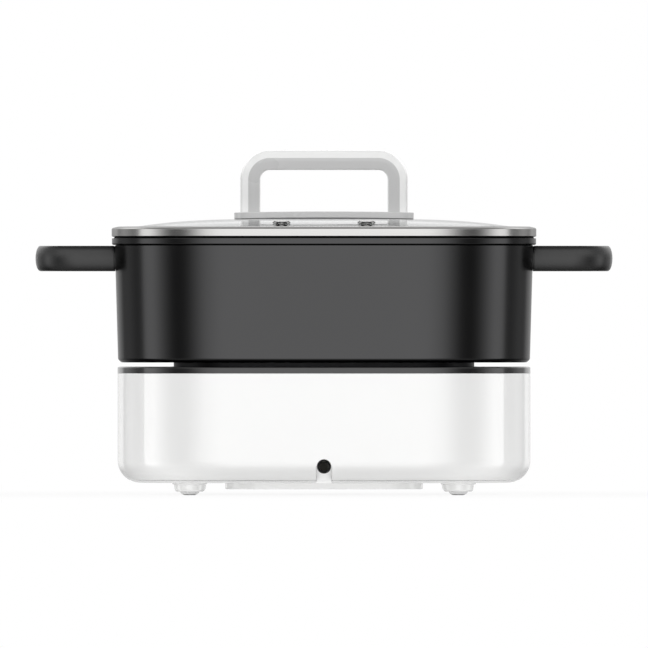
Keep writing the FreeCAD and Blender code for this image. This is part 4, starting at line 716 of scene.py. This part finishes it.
# base: the glossy shell with its cord hole and slot
shell = {
    "out": 78.0, "top": 78.95, "bottom": 7.9, "bottomRound": 14.5, "seam": 9.3, "seamGap": 0.2, "wall": 2.8,
    "insideBottom": 11.8, "insideRound": 11.7, "middleOut": 30.0, "edge": 0.25, "innerEdge": 0.3,
    # cord hole in the back, the slot under it and the block that both are cut into
    "backY": -134.1, "holeRadius": 4.65, "holeZ": 18.75, "holeEnd": -110.0, "cutPast": 2.0,
    "slotHalf": 5.05, "slotFlare": 1.2, "slotWide": 9.0, "slotLow": 6.0, "slotDeep": 24.0,
    "blockHalf": 10.0, "blockBack": -114.1, "blockTop": 26.1, "blockInset": 1.6,
    # control side: the dial ring's seat, and the holes for the knob's shaft and the lamp
    "ringRadius": 29.1, "ringSeatY": 133.5, "frontHoleRadius": 4.7, "lampHoleRadius": 1.6,
    "knobZ": 43.2, "lampZ": 69.2, "drillFrom": 125.0, "drillTo": 140.0, "smoothAngle": 35.0,
}


def rodAlongY(radius, yStart, yEnd, z, steps=64):
    bm = bmesh.new()
    addRod(bm, radius, yEnd - yStart, steps)
    turnBy(bm, 90, "X")
    shift(bm, 0, (yStart + yEnd) / 2, z)
    return bm


def plateAcross(rows, place, step):
    # an outline filled with one face and pushed out to a thickness
    bm = bmesh.new()
    newWire(bm, rows, place, closed=True)
    bmesh.ops.contextual_create(bm, geom=bm.edges[:])
    thickenFaces(bm, step)
    return bm


def slotCutter():
    half, wide, flare = shell["slotHalf"], shell["slotWide"], shell["slotFlare"]
    seam, low, high = shell["seam"], shell["slotLow"], shell["holeZ"]
    rows = [(-half, high), (-half, seam, flare, 6), (-wide, seam), (-wide, low), (wide, low), (wide, seam),
            (half, seam, flare, 6), (half, high)]
    y = (shell["backY"] - shell["cutPast"]) * mm
    return plateAcross(rows, lambda x, up: (x, y, up), Vector((0, shell["slotDeep"] * mm, 0)))


def cordHoleCutter():
    return rodAlongY(shell["holeRadius"], shell["backY"] - shell["cutPast"], shell["holeEnd"], shell["holeZ"])


def trimBelow(bm, z):
    bmesh.ops.bisect_plane(bm, geom=bm.verts[:] + bm.edges[:] + bm.faces[:], dist=1e-7,
                           plane_co=(0, 0, z * mm), plane_no=(0, 0, 1), clear_inner=True)
    fillHoles(bm)


def makeShell():
    out, top, bottom, inside = shell["out"], shell["top"], shell["bottom"], shell["insideBottom"]
    inner, middle = out - shell["wall"], shell["middleOut"]
    rows = [
        (inner, top, shell["innerEdge"], 2), (out, top, shell["edge"], 2),
        (out, bottom, shell["bottomRound"], 20), (middle, bottom),
        (middle, inside), (inner, inside, shell["insideRound"], 12),
    ]
    bm = squareRing(rows, closed=True)
    trimBelow(bm, shell["seam"] + shell["seamGap"])
    start, end = shell["drillFrom"], shell["drillTo"]
    cutters = [cordHoleCutter(), slotCutter(),
               rodAlongY(shell["ringRadius"], shell["ringSeatY"], end, shell["knobZ"], 96),
               rodAlongY(shell["frontHoleRadius"], start, end, shell["knobZ"], 48),
               rodAlongY(shell["lampHoleRadius"], start, end, shell["lampZ"], 24)]
    addPiece("baseShell", bm, finishes["white_plastic"], "base", ["base_housing"],
             cutters=cutters, angle=shell["smoothAngle"])


def makeCordBlock():
    # the solid root of the cord hole, behind the shell
    inset, low = shell["backY"] + shell["blockInset"], shell["bottom"]
    rows = [(inset, shell["blockTop"]), (shell["blockBack"], shell["blockTop"]), (shell["blockBack"], low),
            (inset, low, shell["bottomRound"] - shell["blockInset"], 12)]
    x = -shell["blockHalf"] * mm
    bm = plateAcross(rows, lambda y, up: (x, y, up), Vector((2 * shell["blockHalf"] * mm, 0, 0)))
    trimBelow(bm, shell["seam"])
    addPiece("cordBlock", bm, finishes["white_plastic"], "base", ["base_housing"],
             cutters=[cordHoleCutter(), slotCutter()], angle=shell["smoothAngle"])


makeShell()
makeCordBlock()


# top panel round the heater
panel = {
    "out": 78.0, "bottom": 78.95, "top": 83.1, "openingOut": 43.1, "thickness": 2.5,
    "lipOut": 75.1, "lipInner": 73.1, "lipBottom": 75.5,
    "edge": 0.8, "lowEdge": 0.25, "openingEdge": 0.3, "fineEdge": 0.2,
}


def makePanel():
    under, opening = panel["top"] - panel["thickness"], panel["openingOut"]
    rows = [
        (opening, under, panel["fineEdge"], 2), (opening, panel["top"], panel["openingEdge"], 3),
        (panel["out"], panel["top"], panel["edge"], 6), (panel["out"], panel["bottom"], panel["lowEdge"], 3),
        (panel["lipOut"], panel["bottom"]), (panel["lipOut"], panel["lipBottom"]),
        (panel["lipInner"], panel["lipBottom"]), (panel["lipInner"], under),
    ]
    bm = squareRing(rows, closed=True)
    addPiece("topPanel", bm, finishes["black_panel"], "base", ["top_panel"])


makePanel()
print("base done")


for side in (1, -1):
    makeVent(side)
print("vents done")


# control side: dial ring with heat marks, and the knob with a fluted edge
dial = {
    "ringOuter": 29.0, "ringBack": 133.5, "ringFront": 134.5, "holeRadius": 4.7, "edge": 0.3,
    "drillFrom": 130.0, "drillTo": 138.0,
    # heat marks, growing from the first to the last
    "marks": 11, "marksFrom": 225.0, "marksTurn": 270.0, "markInner": 25.1, "markLengths": (1.56, 2.6),
    "markWidths": (0.56, 1.04), "markProud": 0.06, "markSink": 0.01,
    # knob: flutes round its edge, and (width, depth) of the rings set into its face
    "knobRadius": 23.0, "knobBack": 135.0, "knobFront": 141.6, "flutes": 48, "fluteFacets": 4,
    "fluteDepth": 0.35, "faceRings": [(1.0, 0.0), (0.5, -0.35), (1.2, -0.1)], "smoothAngle": 24.0,
    # the pointer set into that face, turned to the first mark
    "pointerLength": 6.5, "pointerWidth": 1.3, "pointerRound": 0.637, "pointerThick": 0.5,
    "pointerEdge": 0.12, "pointerInset": 5.6, "pointerSink": 0.6, "pointerTurn": -135.0,
}


def faceForward(bm, y, z):
    # from lying flat with its face up to standing with its face towards +Y, on the knob's axis
    turnBy(bm, -90, "X")
    shift(bm, 0, y, z)


def makeDialRing():
    thick = dial["ringFront"] - dial["ringBack"]
    rows = [(dial["holeRadius"], 0), (dial["ringOuter"], 0), (dial["ringOuter"], thick, dial["edge"], 4),
            (dial["holeRadius"], thick)]
    bm = turnedBody(rows, steps=96, closed=True)
    faceForward(bm, dial["ringBack"], shell["knobZ"])
    lamp = rodAlongY(shell["lampHoleRadius"], dial["drillFrom"], dial["drillTo"], shell["lampZ"], 24)
    addPiece("dialRing", bm, finishes["dial_plastic"], "base", ["dial_ring"], cutters=[lamp])


def makeDialMarks():
    bm = bmesh.new()
    for number in range(dial["marks"]):
        share = number / (dial["marks"] - 1)
        width, length = (first + (last - first) * share
                         for first, last in (dial["markWidths"], dial["markLengths"]))
        made = bmesh.ops.create_grid(bm, x_segments=1, y_segments=1, size=0.5)["verts"]
        bmesh.ops.scale(bm, vec=(length * mm, width * mm, 1), verts=made)
        shift(bm, dial["markInner"] + length / 2, 0, 0, made)
        turnBy(bm, dial["marksFrom"] - dial["marksTurn"] * share, "Z", made)
    thickenFaces(bm, (0, 0, dial["markProud"] * mm))
    bmesh.ops.scale(bm, vec=(-1, 1, 1), verts=bm.verts[:])
    bmesh.ops.reverse_faces(bm, faces=bm.faces[:])
    faceForward(bm, dial["ringFront"] - dial["markSink"], shell["knobZ"])
    addPiece("dialMarks", bm, finishes["knob_plastic"], "base")


def makeKnob():
    bm = bmesh.new()
    rim = bmesh.ops.create_circle(bm, cap_ends=True, segments=dial["flutes"] * dial["fluteFacets"],
                                  radius=dial["knobRadius"] * mm)["verts"]
    pull = 1 - dial["fluteDepth"] / dial["knobRadius"]
    bmesh.ops.scale(bm, vec=(pull, pull, 1), verts=rim[::dial["fluteFacets"]])
    thickenFaces(bm, (0, 0, (dial["knobFront"] - dial["knobBack"]) * mm))
    top = [face for face in bm.faces if face.normal.z > 0.9]
    for inset, drop in dial["faceRings"]:
        bmesh.ops.inset_region(bm, faces=top, thickness=inset * mm, depth=drop * mm, use_even_offset=True)
    faceForward(bm, dial["knobBack"], shell["knobZ"])
    addPiece("knobCap", bm, finishes["knob_plastic"], "control_knob", ["knob"],
             angle=dial["smoothAngle"])


def makePointer():
    bm = roundedSlab(dial["pointerWidth"], dial["pointerLength"], dial["pointerRound"], 0,
                     dial["pointerThick"], dial["pointerEdge"], 5)
    shift(bm, 0, dial["knobRadius"] - dial["pointerInset"] - dial["pointerLength"] / 2, 0)
    turnBy(bm, dial["pointerTurn"], "Z")
    faceForward(bm, dial["knobFront"] - dial["pointerSink"], shell["knobZ"])
    addPiece("knobPointer", bm, finishes["dial_plastic"], "control_knob")


makeDialRing()
makeDialMarks()
makeKnob()
makePointer()
print("control side done")


# studio: floor, surroundings, lamps, camera
studio = {
    # paper floor: side in metres, colour, and how white it shows under the object and further off
    "floorSize": 12.0, "floorColor": 0.86, "floorGlow": 0.82, "paperFrom": 0.22, "paperTo": 0.7,
    # camera: lens and sensor in millimetres, the other lengths in metres
    "lens": 1600.0, "sensor": 36.0, "distance": 18.765, "aim": (0.0, 0.0, 0.11095), "elevation": 0.0,
    "clipStart": 1.0, "clipEnd": 60.0,
    # brightness of the surroundings against the turn from the camera's side, in degrees
    "horizon": [(0, 1.5), (18, 1.47), (31, 1.15), (42, 0.5), (50, 0.12), (60, 0.05), (67, 0.17), (74, 0.5),
                (81, 0.95), (88, 1.38), (101, 1.38), (102.5, 0.2), (112, 0.22), (126, 0.5), (134, 0.48),
                (141, 0.3), (147, 0.95), (160, 0.85), (180, 0.74)],
    # the same for what is mirrored from below, and how steep "below" is
    "below": [(0, 1.5), (18, 1.45), (39, 0.62), (55, 0.35), (68, 0.28), (92, 0.26), (108, 0.0), (135, 0.1),
              (180, 0.74)],
    "belowFrom": 0.12, "belowTo": 0.55, "peak": 1.8,
    # higher up: in front, at the sides, behind, high behind, and overhead
    "upperFront": 1.3, "upperSide": 0.6, "upperBack": 1.12, "highBack": 1.7, "top": 0.2,
    "frontFrom": -0.6, "frontTo": -0.2, "backFrom": 0.3, "backTo": 0.7,
    "upperFrom": 0.10, "upperTo": 0.18, "highFrom": 0.28, "highTo": 0.5, "topFrom": 0.58, "topTo": 0.76,
    # plain level that lights everything
    "fill": 0.755,
    # soft boxes all round: how many, height angle, power in watts, side, distance, height aimed at
    "boxes": 5, "boxHeight": 28.0, "boxPower": 10.6, "boxSize": 1.4, "boxDistance": 2.5, "boxAim": 0.1,
    # lit table tops under the object, as light bounced up from pale paper: size, power, height
    "tables": [(0.26, 0.09, 0.0004), (0.44, 0.07, 0.0002)],
}


def makeFloor():
    bm = bmesh.new()
    bmesh.ops.create_grid(bm, x_segments=2, y_segments=2, size=studio["floorSize"] / 2)
    mesh = bpy.data.meshes.new("studioFloor")
    bm.to_mesh(mesh)
    bm.free()
    floor = bpy.data.objects.new("studioFloor", mesh)
    bpy.context.scene.collection.objects.link(floor)
    mesh.materials.append(floorPaper())


def floorPaper():
    material = bpy.data.materials.new("floorPaper")
    material.use_nodes = True
    tree, shade = material.node_tree, studio["floorColor"]
    tree.nodes.clear()
    paper, glow = tree.nodes.new("ShaderNodeBsdfDiffuse"), tree.nodes.new("ShaderNodeEmission")
    paper.inputs["Color"].default_value = (shade, shade, shade, 1)
    glow.inputs["Color"].default_value = (1, 1, 1, 1)
    place, split = tree.nodes.new("ShaderNodeTexCoord"), tree.nodes.new("ShaderNodeSeparateXYZ")
    tree.links.new(place.outputs["Object"], split.inputs[0])
    path = tree.nodes.new("ShaderNodeLightPath")
    away = lengthOf(tree, split.outputs[0], split.outputs[1])
    far = rise(tree, away, studio["paperFrom"], studio["paperTo"])
    white = mathNode(tree, "MULTIPLY", seenThrough(tree, path), blendOf(tree, far, studio["floorGlow"], 1.0))
    seen = mixShaders(tree, white, paper, glow)
    # what is glossy mirrors the surroundings below instead
    clear = tree.nodes.new("ShaderNodeBsdfTransparent")
    surface = mixShaders(tree, path.outputs["Is Glossy Ray"], seen, clear)
    out = tree.nodes.new("ShaderNodeOutputMaterial")
    tree.links.new(surface.outputs[0], out.inputs["Surface"])
    return material


def mixShaders(tree, factor, first, second):
    mix = tree.nodes.new("ShaderNodeMixShader")
    for socket, value in zip(mix.inputs, (factor, first.outputs[0], second.outputs[0])):
        tree.links.new(value, socket)
    return mix


def seenThrough(tree, path):
    # 1 for rays straight from the camera or through glass
    return mathNode(tree, "MAXIMUM", path.outputs["Is Camera Ray"], path.outputs["Is Transmission Ray"])


def blendOf(tree, factor, first, second):
    node = tree.nodes.new("ShaderNodeMix")
    for label, value in (("Factor", factor), ("A", first), ("B", second)):
        if isinstance(value, (int, float)):
            node.inputs[label].default_value = value
        else:
            tree.links.new(value, node.inputs[label])
    return node.outputs[0]


def rise(tree, value, low, high):
    # 0 below low, 1 above high, smooth between
    node = tree.nodes.new("ShaderNodeMapRange")
    node.interpolation_type = "SMOOTHSTEP"
    node.inputs["From Min"].default_value, node.inputs["From Max"].default_value = low, high
    tree.links.new(value, node.inputs["Value"])
    return node.outputs[0]


def lengthOf(tree, x, y):
    squares = mathNode(tree, "ADD", mathNode(tree, "MULTIPLY", x, x), mathNode(tree, "MULTIPLY", y, y))
    return mathNode(tree, "SQRT", squares)


def levelAt(tree, turn, stops):
    # the brightness that the stops give, turn running from 0 in front to 1 behind
    ramp = tree.nodes.new("ShaderNodeValToRGB")
    tree.links.new(turn, ramp.inputs[0])
    bar = ramp.color_ramp
    for _ in range(len(stops) - 2):
        bar.elements.new(0.5)
    for element, (angle, level) in zip(bar.elements, stops):
        shade = level / studio["peak"]
        element.position, element.color = angle / 180, (shade, shade, shade, 1)
    return mathNode(tree, "MULTIPLY", ramp.outputs[0], studio["peak"])


def aroundLevel(tree, x, y, z):
    # soft boxes and dark screens standing round the object, as mirrored by it
    down = mathNode(tree, "MINIMUM", z, 0)
    ahead = mathNode(tree, "DIVIDE", y, lengthOf(tree, lengthOf(tree, x, y), down))
    turn = mathNode(tree, "ARCCOSINE", mathNode(tree, "MULTIPLY", ahead, -1))
    turn = mathNode(tree, "DIVIDE", turn, math.pi)
    steep = mathNode(tree, "MULTIPLY", mathNode(tree, "DIVIDE", down, lengthOf(tree, x, down)), -1)
    return blendOf(tree, rise(tree, steep, studio["belowFrom"], studio["belowTo"]),
                   levelAt(tree, turn, studio["horizon"]), levelAt(tree, turn, studio["below"]))


def makeWorld():
    world = bpy.data.worlds.new("studioWorld")
    bpy.context.scene.world = world
    world.use_nodes = True
    tree = world.node_tree
    tree.nodes.clear()
    place, split = tree.nodes.new("ShaderNodeTexCoord"), tree.nodes.new("ShaderNodeSeparateXYZ")
    tree.links.new(place.outputs["Generated"], split.inputs[0])
    x, y, z = split.outputs
    back = blendOf(tree, rise(tree, z, studio["highFrom"], studio["highTo"]), studio["upperBack"],
                   studio["highBack"])
    upper = blendOf(tree, rise(tree, y, studio["frontFrom"], studio["frontTo"]), studio["upperFront"],
                    studio["upperSide"])
    upper = blendOf(tree, rise(tree, y, studio["backFrom"], studio["backTo"]), upper, back)
    level = blendOf(tree, rise(tree, z, studio["upperFrom"], studio["upperTo"]), aroundLevel(tree, x, y, z),
                    upper)
    level = blendOf(tree, rise(tree, z, studio["topFrom"], studio["topTo"]), level, studio["top"])
    path = tree.nodes.new("ShaderNodeLightPath")
    level = blendOf(tree, path.outputs["Is Glossy Ray"], studio["fill"], level)
    level = blendOf(tree, seenThrough(tree, path), level, 1.0)
    glow, out = tree.nodes.new("ShaderNodeBackground"), tree.nodes.new("ShaderNodeOutputWorld")
    glow.inputs["Color"].default_value = (1, 1, 1, 1)
    tree.links.new(level, glow.inputs["Strength"])
    tree.links.new(glow.outputs[0], out.inputs["Surface"])


def addLamp(name, place, aim, size, power):
    data = bpy.data.lights.new(name, "AREA")
    data.shape, data.size, data.energy = "SQUARE", size, power
    lamp = bpy.data.objects.new(name, data)
    lamp.location = place
    lamp.rotation_euler = (aim - place).to_track_quat("-Z", "Y").to_euler()
    lamp.visible_camera = False
    lamp.visible_glossy = False
    bpy.context.scene.collection.objects.link(lamp)


def makeLamps():
    middle = Vector((0, 0, studio["boxAim"]))
    lift = math.radians(studio["boxHeight"])
    flat = math.cos(lift)
    for number in range(studio["boxes"]):
        turn = 2 * math.pi * number / studio["boxes"]
        away = Vector((math.sin(turn) * flat, -math.cos(turn) * flat, math.sin(lift)))
        addLamp("softBox%d" % number, middle + away * studio["boxDistance"], middle, studio["boxSize"],
                studio["boxPower"])
    for number, (size, power, height) in enumerate(studio["tables"]):
        addLamp("tableGlow%d" % number, Vector((0, 0, height)), Vector((0, 0, 1)), size, power)


def makeCamera():
    data = bpy.data.cameras.new("studioCamera")
    data.lens, data.sensor_width = studio["lens"], studio["sensor"]
    data.clip_start, data.clip_end = studio["clipStart"], studio["clipEnd"]
    camera = bpy.data.objects.new("studioCamera", data)
    bpy.context.scene.collection.objects.link(camera)
    height = math.radians(studio["elevation"])
    away = Vector((0, -math.cos(height), math.sin(height)))
    camera.location = Vector(studio["aim"]) + away * studio["distance"]
    camera.rotation_euler = (-away).to_track_quat("-Z", "Y").to_euler()
    bpy.context.scene.camera = camera


makeFloor()
makeWorld()
makeLamps()
makeCamera()
bpy.context.scene.view_settings.view_transform = "Standard"
print("studio done")
